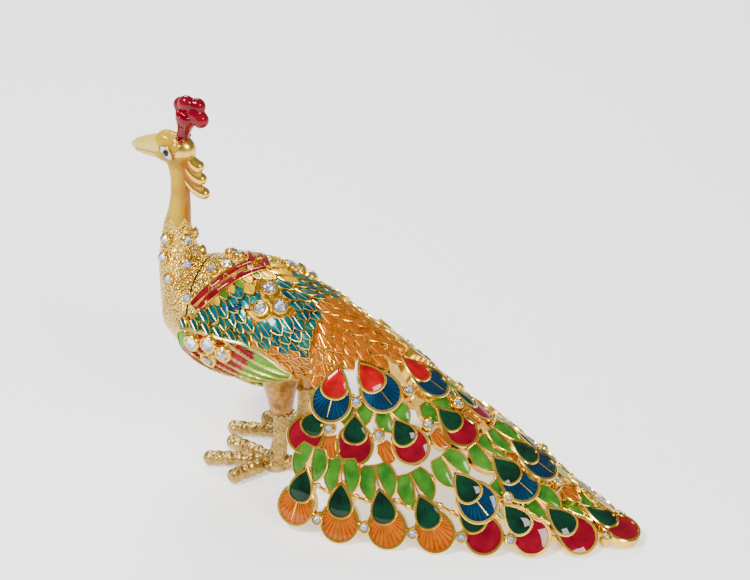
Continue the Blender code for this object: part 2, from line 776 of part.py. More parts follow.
def main():
    clear_scene()
    gold = make_material("gold_plate", GOLD, 0.28, 1.0)
    lid_gold = make_material("lid_gold_plate", COPPER_GOLD, 0.3, 1.0)
    stone = make_material("cut_crystal", STONE, 0.05, 0.0)
    places = stone_places()

    bm = bmesh.new()
    add_torso(bm)
    body = make_object("body", bm, gold)

    bm = bmesh.new()
    add_neck(bm)
    add_head(bm)
    add_crest(bm)
    add_tufts(bm)
    for side in (-1.0, 1.0):
        add_leg(bm, side)
        add_wing(bm, side)
        for tip in TOES[side]:
            add_toe(bm, side, tip)
    add_coverts(bm)
    add_covert_scales(bm)
    add_train(bm)
    add_petals(bm)
    add_seats(bm, places, "crystal", "lid")
    forms = make_object("body_forms", bm, gold)

    space = lid_block("lid_space", LID_GAP, gold)
    room = hollow("room_inside", gold)
    bm = bmesh.new()
    block(bm, at(-BLOCK_HALF, -BLOCK_HALF, -BLOCK_HALF), at(BLOCK_END, BLOCK_HALF, 0.0))
    ground = make_object("ground_cut", bm, gold)

    combine(body, "forms", forms, "UNION", self_union=True)
    combine(body, "lid_space", space, "DIFFERENCE")
    combine(body, "room", room, "DIFFERENCE")
    combine(body, "flat_under", ground, "DIFFERENCE")

    bm = bmesh.new()
    add_torso(bm)
    lid = make_object("lid", bm, lid_gold)
    bm = bmesh.new()
    add_lid_feathers(bm)
    add_seats(bm, places, "lid")
    feathers = make_object("lid_forms", bm, lid_gold)
    keep = lid_block("lid_shape", 0.0, lid_gold)
    combine(lid, "forms", feathers, "UNION", self_union=True)
    combine(lid, "shape", keep, "INTERSECT")
    combine(lid, "room", room, "DIFFERENCE")

    make_stones(places, stone)

    # The origin goes under the middle of the whole bird
    low, high = bounds_of(["body"])
    shift = Vector((-(low[0] + high[0]) / 2.0, 0.0, 0.0))
    for item in bpy.data.objects:
        for vert in item.data.vertices:
            vert.co += shift
    print("origin moved by", round(shift.x * 1000.0, 3), "mm; size", (high - low) * 1000.0)


main()
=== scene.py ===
# %% [markdown]
# # A peacock trinket box
#
# The object is a small cast bird, plated with gold. Thin gold walls stand up from the casting and hold
# fired enamel, a coloured glass, and cut stones sit in gold collars. The back of the bird lifts off, so
# it is a box. This notebook dresses the fixed CAD part: it rebuilds the casting finely enough for a
# close look, feather by feather, and gives each surface its finish.

# %% Load the fixed part
import math

import bmesh
import bpy
import numpy as np
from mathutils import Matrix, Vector


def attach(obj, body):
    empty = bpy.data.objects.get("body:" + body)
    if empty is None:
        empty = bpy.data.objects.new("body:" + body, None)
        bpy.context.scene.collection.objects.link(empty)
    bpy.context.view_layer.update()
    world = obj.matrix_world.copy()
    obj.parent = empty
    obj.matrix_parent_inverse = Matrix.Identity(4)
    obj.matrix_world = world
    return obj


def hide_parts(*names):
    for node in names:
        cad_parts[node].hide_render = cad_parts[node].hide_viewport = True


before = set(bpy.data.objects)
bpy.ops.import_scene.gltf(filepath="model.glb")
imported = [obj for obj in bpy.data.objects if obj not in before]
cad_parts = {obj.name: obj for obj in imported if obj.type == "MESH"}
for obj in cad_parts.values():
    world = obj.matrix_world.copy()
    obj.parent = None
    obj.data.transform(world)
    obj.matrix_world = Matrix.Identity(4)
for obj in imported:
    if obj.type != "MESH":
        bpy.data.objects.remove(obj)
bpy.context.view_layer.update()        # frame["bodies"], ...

# %% [markdown]
# ## Drawing frame
#
# Everything below is drawn in millimetres with the point between the bird's feet at zero, because a
# bird is easiest to describe from where it stands. The part keeps its zero under the middle of its
# length, 25.485 mm further back, so each finished piece is moved by that and turned into metres.

# %% Helpers for building pieces
SHIFT = Vector((-25.485, 0.0, 0.0))
MM = 0.001
# Points nearer than TOUCHING are one point, and a whole UV square spans UV_SPAN. Both are in mm.
TOUCHING, UV_SPAN = 1e-4, 20.0
NEAR, FAR = -1.0, 1.0
SIDES = (NEAR, FAR)


def new_shape():
    """An empty bmesh that carries a UV layer, so that patterns can follow a feather."""
    bm = bmesh.new()
    bm.loops.layers.uv.new("UVMap")
    return bm


def mesh_of(name, bm):
    """A mesh with the shape of a bmesh, which is used up."""
    mesh = bpy.data.meshes.new(name)
    bm.to_mesh(mesh)
    bm.free()
    return mesh


def linked(name, data):
    """A new object of the scene that shows a mesh, a light or a camera."""
    made = bpy.data.objects.new(name, data)
    bpy.context.scene.collection.objects.link(made)
    return made


def merge(into, shape):
    """Adds a small finished shape to a bigger one."""
    mesh = mesh_of("part", shape)
    into.from_mesh(mesh)
    bpy.data.meshes.remove(mesh)


def finish_piece(name, bm, materials, sharp=38.0, stands_for=()):
    """Turns a bmesh in drawing millimetres into an object of the scene that rides with the bird.

    Nothing reaches under the floor: what would is flattened on it, as the foot of a casting is ground."""
    bmesh.ops.remove_doubles(bm, verts=bm.verts, dist=TOUCHING)
    bmesh.ops.recalc_face_normals(bm, faces=bm.faces)
    for vert in bm.verts:
        vert.co.z = max(vert.co.z, 0.0)
        vert.co = (vert.co + SHIFT) * MM
    mesh = mesh_of(name, bm)
    for material in materials:
        mesh.materials.append(material)
    piece = linked(name, mesh)
    mesh.shade_smooth()
    mesh.set_sharp_from_angle(angle=math.radians(sharp))
    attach(piece, "root")
    if stands_for:
        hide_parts(*stands_for)
    print(name, len(mesh.polygons), "faces")


def pull(bm, rings, indices=None):
    """Starts as a disc on the first ring and pulls its face out from ring to ring.

    Each ring is a list of points, and indices name the material of each band and of the last face."""
    indices = indices or [0] * len(rings)
    disc = bmesh.ops.create_circle(bm, cap_ends=True, segments=len(rings[0]), radius=1.0)
    cap = disc["verts"][0].link_faces[0]
    for vert, point in zip(cap.verts, rings[0]):
        vert.co = point
    for k, ring in enumerate(rings[1:]):
        made = bmesh.ops.extrude_face_region(bm, geom=[cap])["geom"]
        if k and cap.is_valid:
            bmesh.ops.delete(bm, geom=[cap], context="FACES_ONLY")
        cap = next(item for item in made if isinstance(item, bmesh.types.BMFace))
        for vert, point in zip(cap.verts, ring):
            vert.co = point
        for edge in cap.edges:
            for face in edge.link_faces:
                face.material_index = indices[k]
        cap.material_index = indices[k + 1]


def in_plane(x, z):
    """A point, or a direction, in the bird's own middle plane."""
    return Vector((x, 0.0, z))


def angles(count, shift=0.0):
    """Angles all the way round, starting a share of one step further."""
    return [2.0 * math.pi * (k + shift) / count for k in range(count)]


def ring_round(centre, side, up, radius, count):
    """Points of a circle that spans the two directions."""
    turns = angles(count, 0.5)
    return [centre + side * (radius * math.cos(t)) + up * (radius * math.sin(t)) for t in turns]


def tube(bm, path, radii, count=12, index=0):
    """A round bar along a path of points; its two ends are closed."""
    whole = (path[-1] - path[0]).normalized()
    guide = Vector((0.0, 1.0, 0.0)) if abs(whole.z) > 0.8 else Vector((0.0, 0.0, 1.0))
    rings = []
    for i, point in enumerate(path):
        ahead = path[min(i + 1, len(path) - 1)] - path[max(i - 1, 0)]
        side = ahead.cross(guide).normalized()
        up = side.cross(ahead).normalized()
        rings.append(ring_round(point, side, up, radii[i], count))
    shape = new_shape()
    pull(shape, rings, [index] * len(rings))
    merge(bm, shape)


def rod(bm, start, end, radii, count, index=0):
    """A straight bar whose radius is given at even steps of its length."""
    tube(bm, [start.lerp(end, share) for share in np.linspace(0.0, 1.0, len(radii))], radii, count, index)


def ball(bm, centre, radii, index=0, detail=2):
    radii = (radii,) * 3 if isinstance(radii, (int, float)) else radii
    shape = new_shape()
    made = bmesh.ops.create_icosphere(shape, subdivisions=detail, radius=1.0)
    for vert in made["verts"]:
        vert.co = Vector(centre) + Vector([c * r for c, r in zip(vert.co, radii)])
    for face in shape.faces:
        face.material_index = index
    merge(bm, shape)


def shrink(outline, amount):
    """Moves a closed outline of (along, across) points inwards by an amount."""
    points = np.array(outline, float)
    before, after = np.roll(points, 1, axis=0), np.roll(points, -1, axis=0)
    first, second = points - before, after - points
    normals = []
    for leg in (first, second):
        length = np.maximum(np.linalg.norm(leg, axis=1), 1e-9)
        normals.append(np.stack([-leg[:, 1], leg[:, 0]], axis=1) / length[:, None])
    middle = normals[0] + normals[1]
    middle /= np.maximum(np.linalg.norm(middle, axis=1), 1e-9)[:, None]
    reach = np.maximum((middle * normals[0]).sum(axis=1), 0.55)
    return points + middle * (amount / reach)[:, None]


def mirrored(half):
    """An outline from its half on one side of the middle line."""
    return half + [(a, -b) for a, b in reversed(half) if b != 0.0]


def place(outline, spot, height):
    origin, along, across, up = spot
    return [origin + along * float(a) + across * float(b) + up * height for a, b in outline]


DOME = ((0.82, 0.45), (0.56, 0.80), (0.24, 1.0))


def cell(bm, outline, spot, top, thick, fill, wall=0.5, sink=0.3, swell=0.15, metal=0):
    """A cloisonne cell: a gold wall round an outline and a pool of enamel a little below its edge."""
    lip = min(0.2, wall * 0.4)
    steps = [(0.0, top - thick, metal), (0.0, top - lip, metal), (lip, top, metal)]
    steps += [(wall - 0.06, top, metal), (wall, top - sink, fill)]
    rings = [place(shrink(outline, inset), spot, height) for inset, height, _ in steps]
    fills = [index for _, _, index in steps]
    if swell:
        pool = shrink(outline, wall)
        middle = pool.mean(axis=0)
        for share, rise in DOME:
            rings.append(place(middle + (pool - middle) * share, spot, top - sink + swell * rise))
            fills.append(fill)
    shape = new_shape()
    pull(shape, rings, fills)
    layer = shape.loops.layers.uv.active
    origin, along, across, _ = spot
    for face in shape.faces:
        for loop in face.loops:
            rel = loop.vert.co - origin
            loop[layer].uv = (0.5 + rel.dot(along) / UV_SPAN, 0.5 + rel.dot(across) / UV_SPAN)
    merge(bm, shape)


def rib(bm, points, spot, height, radius):
    """A thin gold line on a feather, along (along, across) points."""
    path = place(points, spot, height)
    tube(bm, path, [radius * 0.6] + [radius] * (len(path) - 2) + [radius * 0.6], 6)


def spline(t, xs, ys):
    """A smooth curve through a table, so that the casting has no kinks between its stations."""
    xs, ys = np.asarray(xs, float), np.asarray(ys, float)
    i = int(np.clip(np.searchsorted(xs, t) - 1, 0, len(xs) - 2))
    wide = xs[i + 1] - xs[i]
    s = float(np.clip((t - xs[i]) / wide, 0.0, 1.0))
    slopes = np.gradient(ys, xs) * wide
    a, b = slopes[i], slopes[i + 1]
    s2, s3 = s * s, s * s * s
    ends = (2 * s3 - 3 * s2 + 1) * ys[i] + (3 * s2 - 2 * s3) * ys[i + 1]
    return float(ends + (s3 - 2 * s2 + s) * a + (s3 - s2) * b)


# %% [markdown]
# ## Finishes
#
# Gold plate is a metal, so its colour sits in its reflection. Enamel is glass over metal: its colour
# lies under a clear, hard surface, which a coat layer gives. Where the enamel is translucent the gold
# shines through it, so it keeps a share of metal. One node group makes the uneven depth of the colour
# and another makes the fine rays that are cut into the metal under the blue and the orange.

# %% Node groups and materials
COLOUR, NUMBER = "NodeSocketColor", "NodeSocketFloat"
CLOUD_LOW, CLOUD_CONTRAST = 0.32, 2.6
RAY_ORIGIN, RAYS_ROUND = (0.47, 0.5), 34.0
# Scales count clouds or grains along a metre, and depths are in metres, as the shader wants them.
GOLD_SCALE, GRAIN_DEPTH = 260.0, 0.00045


def feed(tree, node, values):
    """Gives a node's inputs their values, or links other nodes to them."""
    for key, value in values.items():
        if isinstance(value, bpy.types.NodeSocket):
            tree.links.new(value, node.inputs[key])
        else:
            node.inputs[key].default_value = (*value, 1.0) if isinstance(value, tuple) else value


def math_node(tree, operation, *operands):
    node = tree.nodes.new("ShaderNodeMath")
    node.operation = operation
    feed(tree, node, dict(enumerate(operands)))
    return node.outputs[0]


def mix_colours(tree, factor, first, second):
    node = tree.nodes.new("ShaderNodeMix")
    node.data_type = "RGBA"
    feed(tree, node, {0: factor, 6: first, 7: second})
    return node.outputs[2]


def object_place(tree):
    return tree.nodes.new("ShaderNodeTexCoord").outputs["Object"]


def attribute(tree, name):
    """A number that is stored on the points of a mesh."""
    node = tree.nodes.new("ShaderNodeAttribute")
    node.attribute_name = name
    return node.outputs["Fac"]


def group_tree(name, outputs, inputs):
    tree = bpy.data.node_groups.new(name, "ShaderNodeTree")
    for in_out, sockets in (("INPUT", inputs), ("OUTPUT", outputs)):
        for socket, kind in sockets.items():
            tree.interface.new_socket(name=socket, in_out=in_out, socket_type=kind)
    return tree, tree.nodes.new("NodeGroupInput"), tree.nodes.new("NodeGroupOutput")


def depth_group():
    """Cloudy mix of a deep and a light tone, in object space."""
    inputs = {"Deep": COLOUR, "Light": COLOUR, "Scale": NUMBER}
    tree, start, end = group_tree("enamel_depth", {"Colour": COLOUR, "Height": NUMBER}, inputs)
    noise = tree.nodes.new("ShaderNodeTexNoise")
    feed(tree, noise, {"Detail": 2.0, "Vector": object_place(tree), "Scale": start.outputs["Scale"]})
    clouds = math_node(tree, "SUBTRACT", noise.outputs[0], CLOUD_LOW)
    share = math_node(tree, "MULTIPLY", clouds, CLOUD_CONTRAST)
    colour = mix_colours(tree, share, start.outputs["Deep"], start.outputs["Light"])
    feed(tree, end, {"Colour": colour, "Height": noise.outputs[0]})
    return tree


def ray_group():
    """Fine lines that spread from a feather's middle, by its own UV."""
    tree, _, end = group_tree("cut_rays", {"Rays": NUMBER}, {})
    uv = tree.nodes.new("ShaderNodeUVMap")
    uv.uv_map = "UVMap"
    parts = tree.nodes.new("ShaderNodeSeparateXYZ")
    feed(tree, parts, {0: uv.outputs[0]})
    along = math_node(tree, "SUBTRACT", parts.outputs[0], RAY_ORIGIN[0])
    across = math_node(tree, "SUBTRACT", parts.outputs[1], RAY_ORIGIN[1])
    angle = math_node(tree, "ARCTAN2", across, along)
    wave = math_node(tree, "SINE", math_node(tree, "MULTIPLY", angle, RAYS_ROUND))
    feed(tree, end, {"Rays": math_node(tree, "ADD", math_node(tree, "MULTIPLY", wave, 0.5), 0.5)})
    return tree


def grain_group():
    """Round grains, as cast into the neck and the front of the back."""
    tree, start, end = group_tree("gold_grain", {"Height": NUMBER}, {"Scale": NUMBER})
    cells = tree.nodes.new("ShaderNodeTexVoronoi")
    cells.feature = "SMOOTH_F1"
    feed(tree, cells, {"Smoothness": 0.25, "Vector": object_place(tree), "Scale": start.outputs["Scale"]})
    feed(tree, end, {"Height": math_node(tree, "SUBTRACT", 1.0, cells.outputs["Distance"])})
    return tree


DEPTH, RAYS, GRAIN = depth_group(), ray_group(), grain_group()


def start_material(name, roughness, metallic, coat=0.0):
    """A material with its tree and shader. Under a coat, only the coat has gloss."""
    material = bpy.data.materials.new(name)
    material.use_nodes = True
    tree = material.node_tree
    shader = tree.nodes["Principled BSDF"]
    feed(tree, shader, {"Roughness": roughness, "Metallic": metallic})
    feed(tree, shader, {"Coat Weight": coat, "Coat Roughness": 0.03})
    if coat:
        feed(tree, shader, {"Specular IOR Level": 0.0})
    return material, tree, shader


def use_group(tree, made, values):
    node = tree.nodes.new("ShaderNodeGroup")
    node.node_tree = made
    feed(tree, node, values)
    return node.outputs


def tone(tree, deep, light, scale):
    """The uneven colour between two tones, and its height."""
    made = use_group(tree, DEPTH, {"Deep": deep, "Light": light, "Scale": scale})
    return made["Colour"], made["Height"]


def add_bump(tree, shader, height, strength, distance):
    bump = tree.nodes.new("ShaderNodeBump")
    feed(tree, bump, {"Strength": strength, "Distance": distance, "Height": height})
    feed(tree, shader, {"Normal": bump.outputs[0]})


def gold(name, deep, light, roughness, grain=0.0):
    material, tree, shader = start_material(name, roughness, 1.0)
    colour, clouds = tone(tree, deep, light, GOLD_SCALE)
    feed(tree, shader, {"Base Color": colour})
    if grain:
        grains = use_group(tree, GRAIN, {"Scale": grain})["Height"]
        add_bump(tree, shader, grains, 1.0, GRAIN_DEPTH)
    else:
        add_bump(tree, shader, clouds, 0.25, 0.0002)
    return material


def enamel(name, deep, light, metallic=0.0, scale=300.0, rays=None):
    material, tree, shader = start_material(name, 0.3, metallic, 0.5)
    colour, _ = tone(tree, deep, light, scale)
    if rays:
        lines = use_group(tree, RAYS, {})["Rays"]
        colour = mix_colours(tree, math_node(tree, "MULTIPLY", lines, 0.55), colour, rays)
        add_bump(tree, shader, lines, 0.35, 0.0003)
    feed(tree, shader, {"Base Color": colour})
    return material


GOLD = gold("polished_gold", (0.74, 0.45, 0.05), (0.90, 0.62, 0.12), 0.22)
SATIN = gold("satin_gold", (0.34, 0.22, 0.06), (0.54, 0.37, 0.12), 0.40, 900.0)
LINE_GOLD = gold("gold_lines", (0.66, 0.39, 0.03), (0.82, 0.53, 0.07), 0.24)
BROWN = enamel("brown_lacquer", (0.16, 0.06, 0.005), (0.46, 0.22, 0.03), 0.7, 700.0)
DARK_GREEN = enamel("dark_green_enamel", (0.001, 0.010, 0.005), (0.002, 0.035, 0.014), 0.0, 220.0)
LEAF_GREEN = enamel("leaf_green_enamel", (0.014, 0.095, 0.008), (0.06, 0.20, 0.015), 0.1, 260.0)
RED = enamel("red_enamel", (0.11, 0.001, 0.006), (0.20, 0.002, 0.012), 0.1)
BRIGHT_RED = enamel("bright_red_enamel", (0.22, 0.0, 0.002), (0.42, 0.002, 0.006), 0.2)
BLUE = enamel("blue_enamel", (0.001, 0.007, 0.03), (0.001, 0.017, 0.055), 0.2, 240.0, (0.001, 0.040, 0.065))
ORANGE = enamel("orange_enamel", (0.22, 0.022, 0.0), (0.38, 0.070, 0.0), 0.2, 700.0, (0.50, 0.14, 0.0))
YELLOW = enamel("yellow_enamel", (0.50, 0.27, 0.0), (0.74, 0.47, 0.0), 0.3, 400.0)
TEAL = enamel("teal_enamel", (0.001, 0.020, 0.055), (0.002, 0.13, 0.11), 0.35, 330.0)
CRIMSON = enamel("crimson_enamel", (0.11, 0.0, 0.005), (0.21, 0.002, 0.010), 0.15, 200.0)
WHITE = enamel("white_enamel", (0.50, 0.42, 0.33), (0.66, 0.61, 0.53))
PALE_GOLD = enamel("cream_gold", (0.56, 0.40, 0.06), (0.72, 0.56, 0.13), 0.1, 150.0)

STONE, stone_tree, stone_shader = start_material("cut_stone", 0.0, 0.0)
feed(stone_tree, stone_shader, {"Base Color": (0.97, 0.97, 1.0), "Transmission Weight": 1.0, "IOR": 1.6})
FOIL, foil_tree, foil_shader = start_material("silver_foil", 0.3, 1.0)
feed(foil_tree, foil_shader, {"Base Color": (0.90, 0.91, 0.97)})
print(len(bpy.data.materials), "materials")

# %% [markdown]
# ## The surfaces that everything sits on
#
# The body is an egg drawn by cross-sections. The train is a pointed arch: a place on it is told by its
# lane, from 0 on the ridge to 7 at the front corner, and its share of the way from the root to the rim.
# The same numbers gave the CAD part its solids, so the fine feathers land where the plain ones are.

# %% Torso, train and wing surfaces
TORSO = np.array([
    (-29.6, 40.0, 34.5, 2.5), (-28.3, 43.6, 30.5, 6.3), (-25.0, 46.6, 27.0, 9.4),
    (-20.0, 48.4, 24.7, 11.7), (-14.0, 49.4, 23.3, 13.1), (-7.0, 49.6, 22.8, 13.7),
    (0.0, 48.2, 23.2, 13.2), (6.0, 45.4, 24.8, 12.2), (12.0, 42.6, 27.5, 10.8),
    (18.0, 39.4, 31.0, 9.0), (22.0, 36.5, 33.0, 6.5),
])
TORSO_MIDDLE = 36.0
WALL = 1.8
LID_FRONT, LID_BACK, LID_BASE, PARTING = -18.6, 11.4, 39.2, 0.5
PLATE = 2.2
TRAIN_START, TRAIN_LENGTH, TRAIN_HALF, ROUNDNESS = 20.0, 68.0, 27.0, 1.4
CORNER_FORWARD, CORNER_IN = 7.0, 1.2
ROOT_X, ROOT_LEAN, ROOT_HALF = 10.0, 4.0, 10.0
RIDGE_HEIGHT, RIDGE_X, RIDGE_SLOPE, RIDGE_DROP = 43.0, 12.0, 0.575, 3.0
RIDGE_BEND, TIP_HEIGHT, EDGE_HEIGHT = 1.5, 2.0, 1.3
LANES = 7.0


def spot(origin, along, up):
    """A small frame on a surface: its point, and directions along, across and out."""
    up = up.normalized()
    along = (along - up * along.dot(up)).normalized()
    return origin, along, up.cross(along), up


def leaned(where, tilt, lift=0.0):
    """The same frame with its far end raised, as an overlapping feather lies."""
    origin, along, across, up = where
    along = (along + up * tilt).normalized()
    return origin + up * lift, along, across, along.cross(across)


def torso_section(x):
    """Top, bottom and half width of the egg at a station."""
    return [spline(x, TORSO[:, 0], TORSO[:, k]) for k in (1, 2, 3)]


def torso_point(x, turn, lift=0.0):
    """A point of the egg: turn is 0 on the back and half a turn under the belly, + on the far side."""
    top, bottom, half = torso_section(x)
    rise = (top - TORSO_MIDDLE if math.cos(turn) > 0 else TORSO_MIDDLE - bottom) + lift
    return Vector((x, (half + lift) * math.sin(turn), TORSO_MIDDLE + rise * math.cos(turn)))


def torso_spot(x, turn, fall=0.0):
    """A frame on the egg that points back, and down the side by the share in fall."""
    here = torso_point(x, turn)
    back = (torso_point(x + 0.3, turn) - here).normalized()
    down = (torso_point(x, turn + 0.02) - here).normalized()
    up = down.cross(back)
    if up.dot(here - in_plane(x, TORSO_MIDDLE)) < 0.0:
        up = -up
    lower = down if turn >= 0.0 else -down
    return spot(here, back * (1.0 - fall) + lower * fall, up)


def rim_curve(samples=160):
    points = []
    for angle in np.linspace(0.0, math.pi / 2.0, samples):
        x = TRAIN_START + TRAIN_LENGTH * math.cos(angle) ** (2.0 / ROUNDNESS)
        points.append((x, TRAIN_HALF * math.sin(angle) ** (2.0 / ROUNDNESS)))
    points.append((TRAIN_START - CORNER_FORWARD, TRAIN_HALF - CORNER_IN))
    points = np.array(points)
    return points, np.concatenate([[0.0], np.cumsum(np.linalg.norm(np.diff(points, axis=0), axis=1))])


RIM_POINTS, RIM_REACH = rim_curve()


def train_height(x, y):
    share = min(max((x - TRAIN_START) / TRAIN_LENGTH, 0.0), 1.0)
    half = TRAIN_HALF * (1.0 - share**ROUNDNESS) ** (1.0 / ROUNDNESS) + 1.0
    fall = RIDGE_HEIGHT - RIDGE_SLOPE * (x - RIDGE_X) - RIDGE_DROP
    ridge = np.logaddexp(0.0, fall / RIDGE_BEND) * RIDGE_BEND + TIP_HEIGHT
    return max(float(ridge) * max(0.0, 1.0 - (y / half) ** 2), EDGE_HEIGHT)


def train_point(lane, share):
    t = lane / LANES
    reach = abs(t) * RIM_REACH[-1]
    rim_x = np.interp(reach, RIM_REACH, RIM_POINTS[:, 0])
    rim_y = math.copysign(np.interp(reach, RIM_REACH, RIM_POINTS[:, 1]), t)
    root_x, root_y = ROOT_X + ROOT_LEAN * abs(t), ROOT_HALF * t
    x, y = root_x + (rim_x - root_x) * share, root_y + (rim_y - root_y) * share
    return Vector((x, y, train_height(x, y)))


def train_spot(lane, share, reach=0.045):
    along = train_point(lane, share + reach) - train_point(lane, share - reach)
    beside = train_point(lane + 0.35, share) - train_point(lane - 0.35, share)
    up = along.cross(beside)
    return spot(train_point(lane, share), along, up if up.z > 0.0 else -up)


def torso_reach(x, z):
    """The egg's half width, and its half height on the side where z is."""
    top, bottom, half = torso_section(x)
    return half, top - TORSO_MIDDLE if z > TORSO_MIDDLE else TORSO_MIDDLE - bottom


def wing_point(x, z, side, lift=0.0):
    half, reach = torso_reach(x, z)
    drop = min(abs(z - TORSO_MIDDLE) / reach, 0.92)
    return Vector((x, side * (half * math.sqrt(1.0 - drop * drop) + lift), z))


# %% [markdown]
# ## The skin of the bird
#
# On the real bird, torso, neck and head flow into one another because they are one casting. The shapes
# are laid over each other, turned into one closed skin on a fine grid and smoothed, as clay would be.
# The back is then cut out for the lid, and the hollow under it is cut with its true wall.

# %% One skin from overlapping shapes
NECK = np.array([
    (-21.6, 33.0, 8.6), (-22.6, 37.0, 8.2), (-24.2, 41.5, 6.9), (-25.6, 45.5, 5.7),
    (-26.3, 48.8, 4.8), (-26.7, 52.0, 4.0), (-26.6, 56.0, 3.25), (-25.9, 60.0, 2.65),
    (-25.5, 64.0, 2.3), (-25.5, 68.0, 2.15), (-25.8, 71.5, 2.4), (-26.2, 74.5, 2.7),
])


def as_object(name, bm):
    bmesh.ops.recalc_face_normals(bm, faces=bm.faces)
    return linked(name, mesh_of(name, bm))


def baked(helper):
    """The bmesh that an object's modifiers make, and the object is gone."""
    evaluated = helper.evaluated_get(bpy.context.evaluated_depsgraph_get())
    bm = bmesh.new()
    bm.from_mesh(evaluated.to_mesh())
    bm.loops.layers.uv.verify()
    evaluated.to_mesh_clear()
    bpy.data.objects.remove(helper, do_unlink=True)
    return bm


def reskin(bm, voxel, smoothing):
    """Joins overlapping closed shapes into one skin on a grid, in drawing millimetres."""
    helper = as_object("raw", bm)
    grid = helper.modifiers.new("grid", "REMESH")
    grid.mode = "VOXEL"
    grid.voxel_size = voxel
    soft = helper.modifiers.new("soft", "SMOOTH")
    soft.factor = 0.5
    soft.iterations = smoothing
    return baked(helper)


def cut(bm, *steps):
    """Cuts a shape by closed tools; each step is an operation and a tool's bmesh."""
    target = as_object("target", bm)
    tools = []
    for operation, tool in steps:
        tools.append(as_object("tool", tool))
        modifier = target.modifiers.new("cut", "BOOLEAN")
        modifier.operation = operation
        modifier.solver = "EXACT"
        modifier.object = tools[-1]
    made = baked(target)
    for tool in tools:
        bpy.data.objects.remove(tool, do_unlink=True)
    return made


def torso_shape(start, end, lift=0.0, count=46, sides=56):
    bm = new_shape()
    rings = []
    for x in np.linspace(start, end, count):
        rings.append([torso_point(x, turn, lift) for turn in angles(sides)])
    pull(bm, rings)
    return bm


def box_shape(low, high):
    bm = new_shape()
    made = bmesh.ops.create_cube(bm, size=1.0)
    for vert in made["verts"]:
        vert.co = Vector([a + (b - a) * (c + 0.5) for a, b, c in zip(low, high, vert.co)])
    return bm


def lid_box(grow):
    return box_shape((LID_FRONT - grow, -40.0, LID_BASE - grow), (LID_BACK + grow, 40.0, 70.0))


def room_shape():
    return torso_shape(LID_FRONT + WALL, LID_BACK - WALL, -WALL, 16, 36)


def neck_section(z):
    """Where the neck's middle is at a height, and its radius."""
    return [spline(z, NECK[:, 1], NECK[:, k]) for k in (0, 2)]


def neck_shape(bm):
    rings = []
    for z in np.linspace(NECK[0][1], NECK[-1][1], 60):
        x, radius = neck_section(z)
        rings.append(ring_round(in_plane(x, z), Vector((1, 0, 0)), Vector((0, 1, 0)), radius, 32))
    shape = new_shape()
    pull(shape, rings)
    merge(bm, shape)


def stamp(bm, name, values):
    """Stores a number on each point, which the material reads."""
    layer = bm.verts.layers.float.new(name)
    for vert in bm.verts:
        vert[layer] = values(vert.co)


def ramp(value, low, high):
    return min(max((value - low) / (high - low), 0.0), 1.0)


NECK_FOOT = 52.0
ZIGZAG_FOOT, ZIGZAG_RISE, ZIGZAGS = 56.0, 2.6, 5.0


def neck_edge(point):
    """Height of the zigzag where the neck's enamel ends."""
    turn = math.atan2(point.y, -point.x - 26.0)
    return ZIGZAG_FOOT + ZIGZAG_RISE * abs((turn * ZIGZAGS / math.pi) % 2.0 - 1.0)


def enamel_share(point):
    """1 under enamel: above the zigzag but for the back of the head, and on the rear of the body."""
    if point.z > NECK_FOOT:
        share = ramp(point.z - neck_edge(point), -0.15, 0.15)
        gold_patch = ramp(point.x + 24.6 + 0.5 * (76.0 - point.z), -0.2, 0.2) * ramp(point.z, 74.2, 74.6)
        return share * (1.0 - gold_patch)
    return ramp(point.x, -3.0, -2.6) * ramp(point.z, 25.0, 26.0)


def warm_share(point):
    """1 where the enamel is orange and not yellow: on the body and down the nape."""
    if point.z < NECK_FOOT:
        return 1.0
    return ramp(point.x + 25.3, 0.3, 2.2) * ramp(75.0 - point.z, 0.0, 3.0)


def grain_share(point):
    """1 where the gold is grained: the front of the body and the neck up to the zigzag."""
    if point.z < NECK_FOOT:
        return ramp(-3.0, point.x, point.x + 1.0)
    return 1.0 - enamel_share(point) - ramp(point.z, 70.0, 71.0)


shape = torso_shape(TORSO[0][0], TORSO[-1][0])
neck_shape(shape)
ball(shape, (-25.7, 0.0, 75.3), (4.6, 3.15, 3.9), detail=4)
ball(shape, (-28.3, 0.0, 76.6), (2.9, 2.6, 2.75), detail=4)
snout = [in_plane(-27.0, 74.4), in_plane(-29.6, 74.2), in_plane(-31.2, 74.2)]
tube(shape, snout, [2.9, 2.5, 1.6], 20)
skin = reskin(shape, 0.34, 14)
skin = cut(skin, ("DIFFERENCE", lid_box(PARTING)), ("DIFFERENCE", room_shape()))
stamp(skin, "enamel", enamel_share)
stamp(skin, "warm", warm_share)
stamp(skin, "grain", grain_share)


def skin_material():
    material, tree, shader = start_material("bird_skin", 0.25, 1.0)
    share, warm, grain = [attribute(tree, name) for name in ("enamel", "warm", "grain")]
    metal, _ = tone(tree, (0.58, 0.35, 0.045), (0.76, 0.50, 0.09), GOLD_SCALE)
    yellow, _ = tone(tree, (0.38, 0.21, 0.0), (0.52, 0.33, 0.0), 180.0)
    orange, _ = tone(tree, (0.24, 0.045, 0.0), (0.40, 0.12, 0.0), 400.0)
    paint = mix_colours(tree, warm, yellow, orange)
    feed(tree, shader, {"Base Color": mix_colours(tree, share, metal, paint), "Specular IOR Level": 0.0})
    feed(tree, shader, {"Metallic": math_node(tree, "SUBTRACT", 1.0, share)})
    feed(tree, shader, {"Coat Weight": math_node(tree, "MULTIPLY", share, 0.4)})
    grains = use_group(tree, GRAIN, {"Scale": 1500.0})["Height"]
    add_bump(tree, shader, math_node(tree, "MULTIPLY", grains, grain), 1.0, GRAIN_DEPTH)
    return material


SKIN = skin_material()
finish_piece("bird_skin", skin, [SKIN], 40.0, ["body"])

